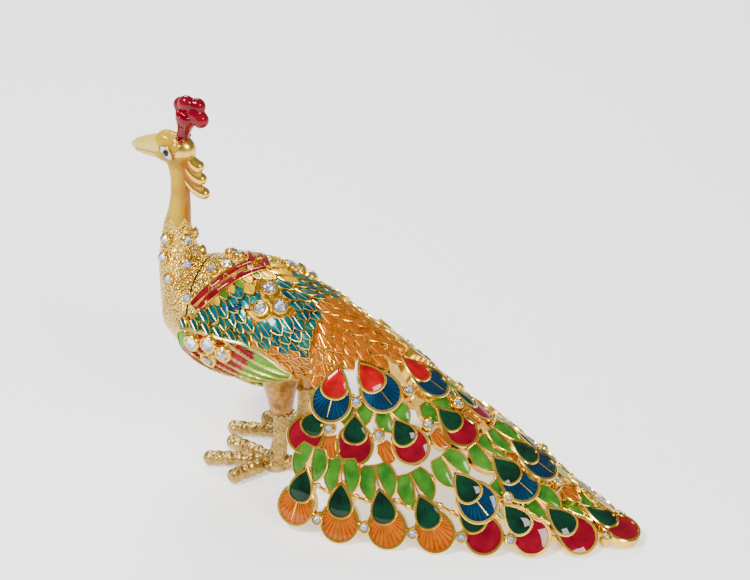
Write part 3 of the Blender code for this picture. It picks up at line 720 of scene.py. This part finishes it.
# %% [markdown]
# ## Head
#
# The beak is two pale gold halves with the mouth between them. The eye is a white almond in a brown rim
# with a dark green bead, and the crest is a cluster of round lobes, glossy with red enamel. Three gold
# fingers stand off the nape with orange enamel between them.

# %% Beak, eyes, crest and nape tufts
head = new_shape()
upper = [(-29.2, 75.7, 2.5), (-31.5, 75.6, 2.15), (-33.6, 75.2, 1.8)]
upper += [(-35.6, 74.7, 1.35), (-37.0, 74.2, 0.85), (-37.45, 74.0, 0.35)]
lower = [(-29.5, 73.3, 1.5), (-32.0, 73.2, 1.15), (-34.4, 73.1, 0.9)]
lower += [(-36.2, 73.1, 0.55), (-36.8, 73.1, 0.2)]
for stations in (upper, lower):
    tube(head, [in_plane(x, z) for x, z, _ in stations], [r for _, _, r in stations], 20, 1)


def almond(length, half, count=14):
    points = []
    for turn in angles(count):
        across = half * math.sin(turn) * abs(math.sin(turn)) ** 0.35
        points.append((0.5 * length * math.cos(turn), across))
    return points


for side in SIDES:
    centre = Vector((-26.9, 2.95 * side, 75.3))
    along = Vector((0.86, 0.12 * side, -0.5))
    where = spot(centre, along, Vector((-0.25, side, 0.12)))
    cell(head, almond(4.6, 1.45), where, 0.35, 0.9, 3, wall=0.26, sink=0.12, swell=0.0, metal=6)
    ball(head, centre + where[3] * 0.22 + where[1] * 0.1, (0.85, 0.4, 0.85), 4)
    for k, (x, z) in enumerate([(-24.6, 78.6), (-23.7, 78.2), (-24.9, 77.4)]):
        ball(head, (x, side * (1.5 + 0.5 * k), z), 0.55, 2 if k < 2 else 0)
tufts = [((-23.2, 74.4), (-19.4, 71.5)), ((-23.9, 71.6), (-18.9, 68.5)), ((-24.1, 68.3), (-18.3, 65.0))]
bend = in_plane(-0.25, -0.6)
steps = (0.0, 0.25, 0.5, 0.75, 0.9, 1.0, 1.06)
for start, end in tufts:
    path = [in_plane(*start).lerp(in_plane(*end), s) + bend * math.sin(math.pi * s) for s in steps]
    tube(head, path, [0.9, 1.2, 1.4, 1.45, 1.35, 0.95, 0.3], 16)
webs = [((-23.4, 72.9), (-20.3, 70.2)), ((-23.6, 69.9), (-20.0, 67.0)), ((-24.0, 74.6), (-23.6, 66.5))]
for start, end in webs:
    rod(head, in_plane(*start), in_plane(*end), [1.2, 1.25, 1.1, 0.4], 12, 5)
head_finishes = [GOLD, PALE_GOLD, CRIMSON, WHITE, DARK_GREEN, ORANGE, BROWN]
finish_piece("head_details", head, head_finishes)

crest = new_shape()
rod(crest, in_plane(-24.3, 78.4), in_plane(-22.6, 84.6), [1.5, 1.5, 1.9, 2.6, 2.9], 20)
lobes = [(-24.3, 86.3, 2.0), (-22.7, 87.2, 2.0), (-20.3, 86.7, 2.0)]
lobes += [(-19.3, 83.9, 2.05), (-22.2, 84.6, 2.7), (-20.6, 84.9, 2.0)]
for k, (x, z, radius) in enumerate(lobes):
    ball(crest, (x, 0.35 * (-1.0) ** k, z), (radius, 1.75, radius), detail=3)
crest = reskin(crest, 0.2, 20)
finish_piece("crest", crest, [CRIMSON])

# %% [markdown]
# ## Legs and feet
#
# The shanks carry shallow rings like a bird's scutes and end in toes with raised bands and smooth,
# round claws. A ring of small beads closes each thigh.

# %% Legs, toes and bead rings
SPREAD = 6.3
TOES = {
    NEAR: [(-13.8, -3.2), (-15.6, -12.4), (-6.2, -17.6), (5.0, -5.6)],
    FAR: [(-16.4, 1.6), (-11.0, 9.6), (-4.0, 13.6), (5.0, 5.8)],
}
legs = new_shape()
for side in SIDES:
    y = SPREAD * side
    thigh = [(1.6, 0.9, 28.5, 5.0), (2.0, 0.95, 24.5, 4.3), (2.2, 1.0, 20.5, 3.4), (2.3, 1.0, 15.8, 2.5)]
    tube(legs, [Vector((x, y * spread, z)) for x, spread, z, _ in thigh], [row[3] for row in thigh], 24, 1)
    path, radii = [], []
    for k, z in enumerate(np.linspace(16.0, 0.05, 27)):
        path.append(Vector((spline(z, (0.0, 4.4, 9.0, 16.0), (0.3, 1.2, 1.9, 2.2)), y, z)))
        plain = spline(z, (0.0, 1.4, 4.4, 9.0, 16.0), (2.9, 2.9, 2.1, 1.7, 1.85))
        radii.append(plain + (0.12 if k % 2 else -0.08))
    tube(legs, path, radii, 16)
    for turn in angles(12):
        ball(legs, (2.25 + 2.5 * math.cos(turn), y + 2.5 * math.sin(turn), 15.9), 0.62)
    for x_tip, y_tip in TOES[side]:
        start, end = Vector((0.2, y, 1.95)), Vector((x_tip, y_tip, 1.75))
        reach = (end - start).length
        path, radii = [], []
        for share in np.linspace(0.05, 1.0, 40):
            bands = sum(math.exp(-(((share - c) * reach / 0.55) ** 2)) for c in (0.36, 0.5, 0.64, 0.78))
            end_round = math.sqrt(max(1.0 - ramp(share * reach, reach - 1.9, reach) ** 2, 0.02))
            path.append(start.lerp(end, share))
            radii.append((1.55 + 0.42 * bands + 0.35 * ramp(share, 0.82, 0.9)) * end_round)
        tube(legs, path, [min(r, p.z - 0.02) for r, p in zip(radii, path)], 16)
finish_piece("legs_and_feet", legs, [SATIN, BROWN])

# %% [markdown]
# ## Wings
#
# Each wing is a shell with raised gold quills. The enamel between them turns from red to green in one
# step, along a line across the feathers, so the colour is stored on the points of the mesh.

# %% Fluted wings
WING_TOP = [(-20.2, 33.5), (-19.4, 37.4), (-14.0, 38.6), (-7.5, 38.7)]
WING_TOP += [(-1.5, 38.3), (4.0, 35.2), (8.6, 31.0)]
WING_LOW = [(-20.2, 33.5), (-18.6, 29.2), (-13.6, 24.4), (-7.5, 22.2)]
WING_LOW += [(-1.5, 21.9), (4.2, 24.6), (8.6, 31.0)]
WING_EDGES = np.array([WING_LOW, WING_TOP])
SLANT = math.radians(27.0)
QUILL_STEP = 2.35
CROWN = 2.1


def quill_place(x, z):
    """Along and across the feathers: they slant down towards the tail."""
    return x * math.cos(SLANT) - z * math.sin(SLANT), x * math.sin(SLANT) + z * math.cos(SLANT)


def wing_outline(u):
    """The lower and the upper edge of the wing at a share of its length."""
    knots = np.linspace(0.0, 1.0, len(WING_TOP))
    return [[spline(u, knots, edge[:, k]) for k in (0, 1)] for edge in WING_EDGES]


def wing_shape(side, columns=96, rows=72):
    bm = new_shape()
    green = bm.verts.layers.float.new("green")
    quill = bm.verts.layers.float.new("quill")
    made = bmesh.ops.create_grid(bm, x_segments=columns, y_segments=rows, size=0.5)
    for vert in made["verts"]:
        u, v = 0.012 + 0.976 * (vert.co.x + 0.5), vert.co.y + 0.5
        (x0, z0), (x1, z1) = wing_outline(u)
        x, z = x0 + (x1 - x0) * v, z0 + (z1 - z0) * v
        along, across = quill_place(x, z)
        edge = min(math.hypot(x1 - x0, z1 - z0) * min(v, 1.0 - v), 40.0 * min(u, 1.0 - u))
        crown = (math.sin(math.pi * u) * math.sin(math.pi * v)) ** 0.35
        phase = (across / QUILL_STEP) % 1.0
        ridge = max(0.0, math.cos(2.0 * math.pi * phase)) ** 4.0
        feathered = ramp(along, -29.8, -28.6)
        rim = 1.0 - ramp(edge, 0.7, 1.1)
        shade = max(ridge * feathered, rim)
        vert[quill] = ramp(shade, 0.3, 0.5)
        turned = (x + 1.3) * 0.794 - (z - 33.1) * 0.608 + 0.5 * math.sin(across * 2.6)
        vert[green] = ramp(turned, -0.15, 0.15)
        front = ramp(along, -30.6, -31.6)
        vert[green] = max(vert[green], front)
        lift = 0.9 + CROWN * crown + 0.55 * shade - 0.25 * feathered * (1.0 - shade)
        if edge < 0.02:
            lift = -1.0
        vert.co = wing_point(x, z, side, lift)
    return bm


def wing_material():
    material, tree, shader = start_material("wing_enamel", 0.3, 0.2, 0.4)
    green, quill = attribute(tree, "green"), attribute(tree, "quill")
    red, _ = tone(tree, (0.14, 0.001, 0.005), (0.34, 0.005, 0.015), 420.0)
    grass, _ = tone(tree, (0.04, 0.20, 0.008), (0.14, 0.36, 0.02), 260.0)
    metal, _ = tone(tree, (0.72, 0.50, 0.10), (0.88, 0.68, 0.20), GOLD_SCALE)
    paint = mix_colours(tree, green, red, grass)
    share = math_node(tree, "ADD", math_node(tree, "MULTIPLY", quill, 0.75), 0.15)
    feed(tree, shader, {"Base Color": mix_colours(tree, quill, paint, metal), "Metallic": share})
    return material


WING = wing_material()
for word, side in (("near", NEAR), ("far", FAR)):
    finish_piece(f"wing_{word}", wing_shape(side), [WING], 60.0)

# %% [markdown]
# ## Stones
#
# Each stone is a small brilliant: a round girdle, a ring of facets and a flat table, which is the
# convex hull of five rings of points. Silver foil behind it throws the light back, and a gold collar
# holds it. All of them lie where the CAD part has its plain six-sided stones.

# %% Brilliants and collars
BIG, MID, SMALL = 3.0, 2.2, 1.9
WING_STONES = [(-10.6, 36.4), (-15.2, 35.4), (-6.8, 35.0), (-11.0, 32.2)]
LID_STONES = [(-0.6, 0.42), (-0.6, 0.82), (3.2, 0.64), (-15.4, 0.37), (-12.4, 0.20)]
BIG_LID_STONES = 3
NECK_STONES = [(53.2, 1.30), (53.2, 2.60), (48.8, 1.20), (47.9, 2.30), (44.2, 1.40), (43.0, 2.10)]
CLUSTERS = [(0.0, 0.425, True), (2.05, 0.50, True), (4.10, 0.545, True), (5.82, 0.51, True)]
CLUSTERS += [(0.0, 0.74, True), (1.70, 0.800, False), (1.55, 0.36, False), (4.35, 0.385, False)]
RIM_SEATS = [0.48, 2.40, 3.36, 4.32, 5.28, 6.24]

stones, foils, collars = new_shape(), new_shape(), new_shape()


def ring_on(where, radius, height, count, turned=0.0):
    origin, along, across, up = where
    ring = []
    for turn in angles(count, turned):
        ring.append(origin + (along * math.cos(turn) + across * math.sin(turn)) * radius + up * height)
    return ring


def add_stone(where, diameter, base, collar=0.45, depth=1.5):
    """A brilliant whose girdle lies at a height above the metal, its foil and its collar."""
    radius = diameter / 2.0
    shape = new_shape()
    for ring in (
        ring_on(where, 0.45 * radius, base - 0.42 * radius, 8),
        ring_on(where, radius, base, 16, 0.5),
        ring_on(where, radius, base + 0.06 * radius, 16, 0.5),
        ring_on(where, 0.82 * radius, base + 0.26 * radius, 8),
        ring_on(where, 0.56 * radius, base + 0.44 * radius, 8, 0.5),
    ):
        made = bmesh.ops.create_circle(shape, segments=len(ring), radius=1.0)
        for vert, point in zip(made["verts"], ring):
            vert.co = point
    hull = bmesh.ops.convex_hull(shape, input=shape.verts)
    bmesh.ops.delete(shape, geom=list(set(hull["geom_interior"] + hull["geom_unused"])), context="VERTS")
    bmesh.ops.dissolve_limit(shape, angle_limit=0.02, verts=shape.verts, edges=shape.edges)
    merge(stones, shape)
    cup = new_shape()
    cup_profile = ((0.3, -0.62), (1.03, -0.06), (0.96, -0.1), (0.25, -0.56))
    pull(cup, [ring_on(where, r * radius, base + h * radius, 16) for r, h in cup_profile])
    merge(foils, cup)
    ring = new_shape()
    profile = [(collar + 0.15, -depth), (collar + 0.1, base - 0.25), (collar - 0.05, base + 0.05)]
    profile += [(collar - 0.2, base + 0.16), (0.06, base + 0.14), (0.05, base - 0.3)]
    profile += [(0.05, base - 0.68 * radius)]
    pull(ring, [ring_on(where, radius + out, height, 20) for out, height in profile])
    merge(collars, ring)
    for claw in ring_on(where, radius + 0.02, base + 0.16, 4, 0.5):
        ball(collars, claw, 0.14, detail=1)


def wing_spot(x, z, side, lift):
    here = wing_point(x, z, side, lift)
    ahead, rising = wing_point(x + 1.0, z, side, lift) - here, wing_point(x, z + 1.0, side, lift) - here
    up = ahead.cross(rising)
    return spot(here, ahead, up if up.y * side > 0.0 else -up)


def front_point(z, turn):
    """A point on the neck or the breast, whichever is further out: turn is 0 in front."""
    x, radius = neck_section(z)
    out = Vector((-math.cos(turn), math.sin(turn), 0.0))
    middle = in_plane(x, z)
    for grown in np.arange(radius, radius + 12.0, 0.1):
        point = middle + out * (grown + 0.1)
        half, reach = torso_reach(max(point.x, TORSO[0][0]), z)
        if point.x < TORSO[0][0] or (point.y / half) ** 2 + ((z - TORSO_MIDDLE) / reach) ** 2 > 1.0:
            return middle + out * grown
    return middle + out * radius


def both_sides(lane):
    return [lane] if lane == 0.0 else [-lane, lane]


cluster_spots = []
for lane, share, petal in CLUSTERS:
    cluster_spots += [(train_spot(side_lane, share), petal) for side_lane in both_sides(lane)]

for side in SIDES:
    for x, z in WING_STONES:
        add_stone(wing_spot(x, z, side, CROWN + 0.6), BIG, 0.75, 0.55)
    for k, (x, turn) in enumerate(LID_STONES):
        big = k < BIG_LID_STONES
        add_stone(torso_spot(x, turn * side), BIG if big else MID, 1.1 if big else 0.8, 0.4)
    for z, turn in NECK_STONES:
        here = front_point(z, turn * side)
        rising = front_point(z + 0.8, turn * side) - here
        out = (front_point(z, (turn + 0.15) * side) - here).cross(rising) * -side
        add_stone(spot(here, rising, out), MID, 0.66, 0.28)
for where, petal in cluster_spots:
    add_stone(where, SMALL, 1.85 if petal else 2.4, 0.36, 0.9)
    for bead in ring_on(where, 1.75, 1.15, 6)[2:5]:
        ball(collars, bead, 0.42)
for lane in RIM_SEATS:
    for side_lane in both_sides(lane):
        add_stone(train_spot(side_lane, 0.965), SMALL, 1.75, 0.38, 1.1)
crystals = [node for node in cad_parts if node.startswith("crystal")]
finish_piece("cut_stones", stones, [STONE], 1.0, crystals)
finish_piece("foil_backs", foils, [FOIL], 30.0)
finish_piece("collars", collars, [LINE_GOLD], 35.0)

# %% [markdown]
# ## The lid
#
# The lid is the back of the bird. In front it is grained gold, then two red stripes run down to the
# breast with yellow and orange leaves between them, and overlapping teal feathers cover the rest. The
# lid is hollow like the CAD part, with the same gap all round, so the parting line shows as on the
# real box.

# %% Lid shell, stripes and leaves
STRIPES = [(-7.6, -17.0), (-4.2, -15.4)]
STRIPE_START, STRIPE_TURN = 0.03, 1.04
BEHIND_STRIPES = 1.7
# Offset, half width, rise and finish of a stripe's enamel and of its two gold edges.
STRIPE_BANDS = [(0.0, 0.95, 0.85, 1), (-1.1, 0.2, 0.9, 0), (1.1, 0.2, 0.9, 0)]
LEAF_COUNT, LEAF_START, LEAF_TURN = 7, 0.08, 0.86


def stripe_x(stripe, turn):
    top, low = STRIPES[stripe]
    return top + (low - top) * (abs(turn) - STRIPE_START) / STRIPE_TURN


def strip(bm, spots, half, rise, index):
    """A flat raised band with a rounded top along a row of frames."""
    flank = [(-half, -0.4), (-half, rise * 0.5), (-half * 0.6, rise * 0.9)]
    profile = [*flank, (0.0, rise)] + [(-across, height) for across, height in reversed(flank)]
    shape = new_shape()
    rings = [[o + across * a + up * h for a, h in profile] for o, _, across, up in spots]
    pull(shape, rings, [index] * len(rings))
    merge(bm, shape)


def stripe_spots(stripe, offset, side, count=14):
    """Frames down a stripe, or down a line that runs beside it."""
    turns = [side * (STRIPE_START + STRIPE_TURN * k / (count - 1.0)) for k in range(count)]
    places = [(stripe_x(stripe, turn) + offset, turn) for turn in turns]
    points = [torso_point(*here) for here in places]
    spots = []
    for k, (here, point) in enumerate(zip(places, points)):
        ahead = points[min(k + 1, count - 1)] - points[max(k - 1, 0)]
        spots.append(spot(point, ahead, torso_spot(*here)[3]))
    return spots


shell = torso_shape(TORSO[0][0], TORSO[-1][0])
shell = cut(shell, ("INTERSECT", lid_box(0.0)), ("DIFFERENCE", room_shape()))
bmesh.ops.triangulate(shell, faces=[face for face in shell.faces if len(face.verts) > 4])
stamp(shell, "grain", lambda p: 1.0 if p.x < 0.0 else 0.4)
stamp(shell, "enamel", lambda p: ramp(p.x, 3.0, 3.5))
stamp(shell, "warm", lambda p: 1.0)
finish_piece("lid_shell", shell, [SKIN], 40.0, ["lid"])

LEAF = mirrored([(-2.0, 0.0), (-1.2, -0.75), (0.2, -1.0), (1.4, -0.6), (2.2, 0.0)])
dress = new_shape()
for side in SIDES:
    for stripe in (0, 1):
        for offset, half, rise, index in STRIPE_BANDS:
            strip(dress, stripe_spots(stripe, offset, side), half, rise, index)
    for k in range(LEAF_COUNT):
        turn = side * (LEAF_START + LEAF_TURN * ((k + 0.5) / LEAF_COUNT))
        x = 0.5 * (stripe_x(0, turn) + stripe_x(1, turn))
        where = torso_spot(x, turn, 0.62)
        between = [(a * 0.85, b * 0.7) for a, b in LEAF]
        cell(dress, between, leaned(where, 0.1 * (-1) ** k, 0.3), 0.45, 1.0, 2 + k % 2, 0.2, 0.15, 0.1)
        lower = torso_spot(stripe_x(1, turn) + 2.1, turn, 0.45)
        cell(dress, LEAF, leaned(lower, 0.22, 0.2), 0.4, 1.0, 4 if k % 2 else 2, 0.25, 0.15, 0.1)
finish_piece("lid_stripes", dress, [LINE_GOLD, RED, YELLOW, ORANGE, LEAF_GREEN])

# %% [markdown]
# ## Overlapping feathers
#
# One function makes every small feather: a pointed gold cell with enamel in it, a gold midrib and, on
# the orange ones, two more ribs that spread like a fan. Each leans a little, so its tip lies over the
# next row.

# %% Teal and orange feathers
SCALE = mirrored([(-2.2, -1.35), (-0.6, -1.75), (1.0, -1.6), (2.2, -0.95), (3.1, 0.0)])
# HALF_WIDTH turns an angle round the back into millimetres.
PATCH_REACH, PATCH_DISC, HALF_WIDTH = 2.7, 5.6, 13.0
LID_ROWS, FIRST_TURN, TURN_STEP, PER_ROW = np.arange(-15.8, 11.0, 2.15), 1.36, 0.235, 7
YELLOW_TURN, YELLOW_REACH = 0.62, 7.0
COVERT_ROWS, COVERT_LANES, COVERT_END = np.arange(0.015, 0.29, 0.042), 1.42, 0.25


def feather(bm, where, size, fill, fan, tilt=0.2):
    low = leaned(where, tilt, 0.15)
    outline = [(a * size, b * size) for a, b in SCALE]
    cell(bm, outline, low, 0.45, 1.1, fill, 0.22, 0.16, 0.16)
    for slope in ((-0.34, 0.0, 0.34) if fan else (0.0,)):
        tip = 2.4 if slope == 0.0 else 1.7
        line = [(-2.0, slope * 0.3), (0.0, slope * 1.6), (tip, slope * 2.6)]
        rib(bm, [(a * size, b * size) for a, b in line], low, 0.4, 0.1)


def round_cell(length, width, count=28):
    """A round outline, a little longer towards the root: an eye feather's end, or a disc under a stone."""
    radius = width / 2.0
    centre = length / 2.0 - radius
    points = []
    for turn in angles(count):
        stretch = 1.0 if math.cos(turn) > 0.0 else 1.22
        points.append((centre + radius * stretch * math.cos(turn), radius * math.sin(turn)))
    return points


def near_patch(x, turn):
    """True on the gold patch with the three big stones."""
    gaps = [(x - at_x, HALF_WIDTH * (abs(turn) - at_turn)) for at_x, at_turn in LID_STONES[:BIG_LID_STONES]]
    return any(math.hypot(*gap) < PATCH_REACH for gap in gaps)


lid_feathers, count = new_shape(), 0
for row, x in enumerate(LID_ROWS):
    for k in range(PER_ROW):
        turn = FIRST_TURN - TURN_STEP * (k + 0.5 * (row % 2))
        if turn < -0.05 or near_patch(x, turn):
            continue
        if x < stripe_x(1, turn) + BEHIND_STRIPES + 1.2:
            continue
        for side in SIDES if turn > 0.09 else (FAR,):
            fill = 3 if turn < YELLOW_TURN and x < stripe_x(1, turn) + YELLOW_REACH else 1
            where = torso_spot(x, side * max(turn, 0.0), 0.42 * ramp(turn, 0.0, 0.5))
            feather(lid_feathers, where, 0.96, fill, False)
            count += 1
for side in SIDES:
    for x, turn in LID_STONES[:BIG_LID_STONES]:
        where = torso_spot(x, side * turn)
        cell(lid_feathers, round_cell(PATCH_DISC, PATCH_DISC, 16), where, 0.25, 1.4, 0, 0.4, 0.12, 0.0)
    bead = torso_spot(-5.6, side * 0.9)
    ball(lid_feathers, bead[0] + bead[3] * 0.7, 0.95, 2, 3)
finish_piece("lid_feathers", lid_feathers, [LINE_GOLD, TEAL, BLUE, YELLOW])
print(count, "feathers on the lid")

coverts, count = new_shape(), 0
for row, share in enumerate(COVERT_ROWS):
    across_count = 10 - row % 2
    for k in range(across_count):
        lane = (k - (across_count - 1) / 2.0) * COVERT_LANES
        if share > COVERT_END - 0.05 * ramp(abs(lane), 0.8, 2.2):
            continue
        where = train_spot(lane, share)
        where = (where[0] + where[3] * 0.95, *where[1:])
        feather(coverts, where, 1.08, 1, True, 0.16)
        count += 1
for side in SIDES:
    for row, x in enumerate(np.arange(-2.0, 16.5, 2.4)):
        for k in range(4):
            turn = 1.42 + 0.26 * (k + 0.5 * (row % 2))
            if x > 11.5 and k > 2:
                continue
            feather(coverts, torso_spot(x, side * turn, 0.3), 1.05, 1, True)
            count += 1
    for x, z in ((-18.6, 38.2), (-15.4, 38.9), (-12.2, 39.0), (-9.0, 39.0), (-5.8, 38.9), (-2.6, 38.6)):
        where = wing_spot(x, z - 0.3, side, 1.2)
        where = spot(where[0], in_plane(0.8, -0.6), where[3])
        feather(coverts, where, 0.85, 2, False, 0.3)
finish_piece("orange_coverts", coverts, [LINE_GOLD, ORANGE, TEAL])
print(count, "orange feathers")

# %% [markdown]
# ## The train
#
# The train is openwork. Each eye feather is two cells: a round one whose enamel shows as a crescent,
# and over it a pear that points to the root. On most, two green leaves hold the pear's point. Bars
# with a pair of beads tie neighbours on the rim, and orange petals hang under some of the stones.

# %% Eye feathers
RIM_LANES = [0.0, 0.96, 1.92, 2.88, 3.84, 4.80, 5.76, 6.70]
RED_RIM_LANES = 4
# Lanes, shares of the way to the rim, length, width and greatest turn of each row.
ROWS = {
    "first": ([0.0, 2.90, 5.35], [0.315, 0.325, 0.325], 13.6, 9.6, 44.0),
    "second": ([1.00, 3.20, 4.98, 6.60], [0.50, 0.565, 0.565, 0.54], 12.0, 8.8, 34.0),
    "third": ([0.0, 1.02, 2.50], [0.655, 0.715, 0.795], 13.6, 9.4, 0.0),
    "rim": (RIM_LANES, [0.915] * len(RIM_LANES), 14.4, 9.2, 12.0),
}
TURN_FROM_LANE, TURN_FULL_LANE = 2.9, 6.7
ROW_LIFT = {"first": 0.9, "third": 0.6}
RIDGE_LIFT = 0.7
PEAR_GREEN, LEAVES, CRESCENT_RED, CRESCENT_BLUE, CRESCENT_ORANGE, PEAR_RED = range(1, 7)


def pear(start, length, half, count=26):
    """A drop with its point at start."""
    points = []
    for turn in angles(count):
        across = -half / 0.77 * math.sin(turn) * math.sin(turn / 2.0)
        points.append((start + 0.5 * length * (1.0 - math.cos(turn)), across))
    return points


def leaf(start, end, half, bend, count=8):
    """A slim leaf between two points, bent outwards, as an outline."""
    start, end = np.array(start, float), np.array(end, float)
    ahead = (end - start) / np.linalg.norm(end - start)
    beside = np.array([-ahead[1], ahead[0]])
    lower, upper = [], []
    for k in range(count + 1):
        share = k / count
        middle = start + (end - start) * share + beside * bend * math.sin(math.pi * share)
        wide = half * math.sin(math.pi * min(share * 0.78 + 0.20, 1.0)) ** 0.7
        if k == count:
            lower.append(tuple(middle))
            continue
        lower.append(tuple(middle - beside * wide))
        upper.append(tuple(middle + beside * wide))
    return lower + upper[::-1]


# Root and tip as shares of the feather's length and width, then half width and bend.
LEAF_SHAPES = {
    "second": ((-0.24, 0.15), (0.25, 0.27), 2.0, 0.5),
    "third": ((-0.36, 0.14), (0.22, 0.245), 2.0, 0.6),
    "rim": ((-0.36, 0.145), (0.22, 0.25), 2.05, 0.6),
}
BARE_RIM_LANES = (2.88,)
CRESCENTS = {"first": CRESCENT_BLUE, "second": CRESCENT_RED, "third": CRESCENT_BLUE, "rim": CRESCENT_RED}
PEARS = {"first": PEAR_RED}


def turned_spot(lane, share, turn):
    """A frame on the train; near the front corner a feather's point is turned back, towards the tip."""
    origin, along, across, up = train_spot(lane, share)
    angle = math.radians(turn) * ramp(abs(lane), TURN_FROM_LANE, TURN_FULL_LANE)
    forward = across if across.x < 0.0 else -across
    return spot(origin, along * math.cos(angle) + forward * math.sin(angle), up)


def add_eye(bm, where, length, width, crescent, pear_fill, leaves):
    half = PLATE / 2.0
    cell(bm, round_cell(length, width), where, half, PLATE, crescent, 0.78, 0.25, 0.25)
    point = -length / 2.0
    drop = pear(point, length * 0.61, width * 0.335)
    cell(bm, drop, where, half + 0.3, PLATE + 0.1, pear_fill, 0.6, 0.25, 0.32)
    if crescent in (CRESCENT_BLUE, CRESCENT_ORANGE):
        line = [(point + length * share, 0.0) for share in (0.6, 0.74, 0.9)]
        rib(bm, line, where, half, 0.17)
    if not leaves:
        return
    (root, near), (tip, wide), half_leaf, bend = leaves
    start = (point + root * length, near * width)
    end = (point + tip * length, wide * width)
    outline = leaf(start, end, half_leaf, bend)
    for shape in (outline, [(a, -b) for a, b in outline][::-1]):
        cell(bm, shape, where, half - 0.05, PLATE, LEAVES, 0.46, 0.22, 0.2)
    rib(bm, [(start[0] + 0.6, 0.0), (point, 0.0)], where, half - 0.2, 0.35)


train, eyes = new_shape(), 0
spots = {}
for name, (lanes, shares, length, width, turn) in ROWS.items():
    for number, (lane, share) in enumerate(zip(lanes, shares)):
        for side_lane in both_sides(lane):
            where = turned_spot(side_lane, share, turn)
            lift = ROW_LIFT.get(name, 0.0)
            if name == "third" and lane == 0.0:
                lift += RIDGE_LIFT
            where = leaned(where, 0.0, lift)
            spots[name, side_lane] = where
            crescent, leaves = CRESCENTS[name], LEAF_SHAPES.get(name)
            if name == "rim" and number >= RED_RIM_LANES:
                crescent = CRESCENT_ORANGE
            if name == "rim" and lane in BARE_RIM_LANES:
                leaves = None
            add_eye(train, where, length, width, crescent, PEARS.get(name, PEAR_GREEN), leaves)
            eyes += 1
print(eyes, "eye feathers")


def on_spot(where, along, across, up):
    return where[0] + where[1] * along + where[2] * across + where[3] * up


def tie(bm, first, second):
    """A bar between two feathers, with two beads on it."""
    rod(bm, first, second, [0.5, 0.5], 8)
    for share in (0.25, 0.75):
        ball(bm, first.lerp(second, share) + Vector((0.0, 0.0, 0.3)), 0.7)


row = sorted(lane for name, lane in spots if name == "rim")
for low, high in zip(row, row[1:]):
    first, second = spots["rim", low], spots["rim", high]
    toward = 1.0 if (second[0] - first[0]).dot(first[2]) > 0.0 else -1.0
    tie(train, on_spot(first, -3.9, 2.4 * toward, 0.6), on_spot(second, -3.9, -2.4 * toward, 0.6))
    ends = on_spot(first, 3.6, 2.5 * toward, 0.0), on_spot(second, 3.6, -2.5 * toward, 0.0)
    rod(train, *ends, [0.7, 0.7], 8)

PETAL = mirrored([(1.6, -1.3), (3.4, -2.1), (5.4, -1.9), (6.9, -0.7)])
for where, petal in cluster_spots:
    if petal:
        cell(train, PETAL, where, PLATE / 2.0 + 0.1, PLATE, CRESCENT_ORANGE, 0.4, 0.25, 0.15)
        rib(train, [(2.2, 0.0), (4.4, 0.0), (6.3, 0.0)], where, PLATE / 2.0, 0.16)
train_finishes = [GOLD, DARK_GREEN, LEAF_GREEN, RED, BLUE, ORANGE, BRIGHT_RED]
finish_piece("train", train, train_finishes)

# %% [markdown]
# ## Picture
#
# The photo looks at the bird's left from behind and above: 24.5 degrees round and 30 degrees up, from
# 55 cm. A pale floor, a bright sky and three soft lights give the light tent that such things are
# photographed in.

# %% Floor, lights and camera
LIT_POINT = Vector((0.0, 0.0, 0.03))
floor_bm = bmesh.new()
bmesh.ops.create_grid(floor_bm, x_segments=1, y_segments=1, size=6.0)
floor = linked("floor", mesh_of("floor", floor_bm))
floor.location.z = -0.0001
FLOOR, floor_tree, floor_shader = start_material("floor_paper", 0.6, 0.0)
paper = {"Base Color": (0.86, 0.85, 0.84), "Emission Color": (1.0, 0.99, 0.98), "Emission Strength": 0.8}
feed(floor_tree, floor_shader, paper)
floor.data.materials.append(FLOOR)

world = bpy.data.worlds.new("light_tent")
bpy.context.scene.world = world
world.use_nodes = True
feed(world.node_tree, world.node_tree.nodes["Background"], {"Color": (1.0, 1.0, 1.0), "Strength": 0.32})


def add_light(name, position, size, power):
    """A soft white light that faces the bird."""
    data = bpy.data.lights.new(name, "AREA")
    data.size = size
    data.energy = power
    light = linked(name, data)
    light.location = position
    light.rotation_euler = (LIT_POINT - Vector(position)).to_track_quat("-Z", "Y").to_euler()


add_light("key", (-0.25, -0.35, 0.65), 0.18, 9.0)
add_light("fill", (0.55, -0.3, 0.45), 0.22, 4.5)
add_light("back", (-0.35, 0.5, 0.6), 0.25, 5.0)

AZIMUTH, ELEVATION, DISTANCE = math.radians(24.5), math.radians(30.0), 550.0
ACROSS, RISE = 21.19, 38.57
right = Vector((math.cos(AZIMUTH), math.sin(AZIMUTH), 0.0))
back = Vector((math.sin(AZIMUTH), -math.cos(AZIMUTH), math.tan(ELEVATION))).normalized()
camera_data = bpy.data.cameras.new("camera")
camera_data.lens = 110.9
camera_data.clip_start = 0.01
camera = linked("camera", camera_data)
camera.location = (back * DISTANCE + right * ACROSS + back.cross(right) * RISE + SHIFT) * MM
camera.rotation_euler = back.to_track_quat("Z", "Y").to_euler()
bpy.context.scene.camera = camera
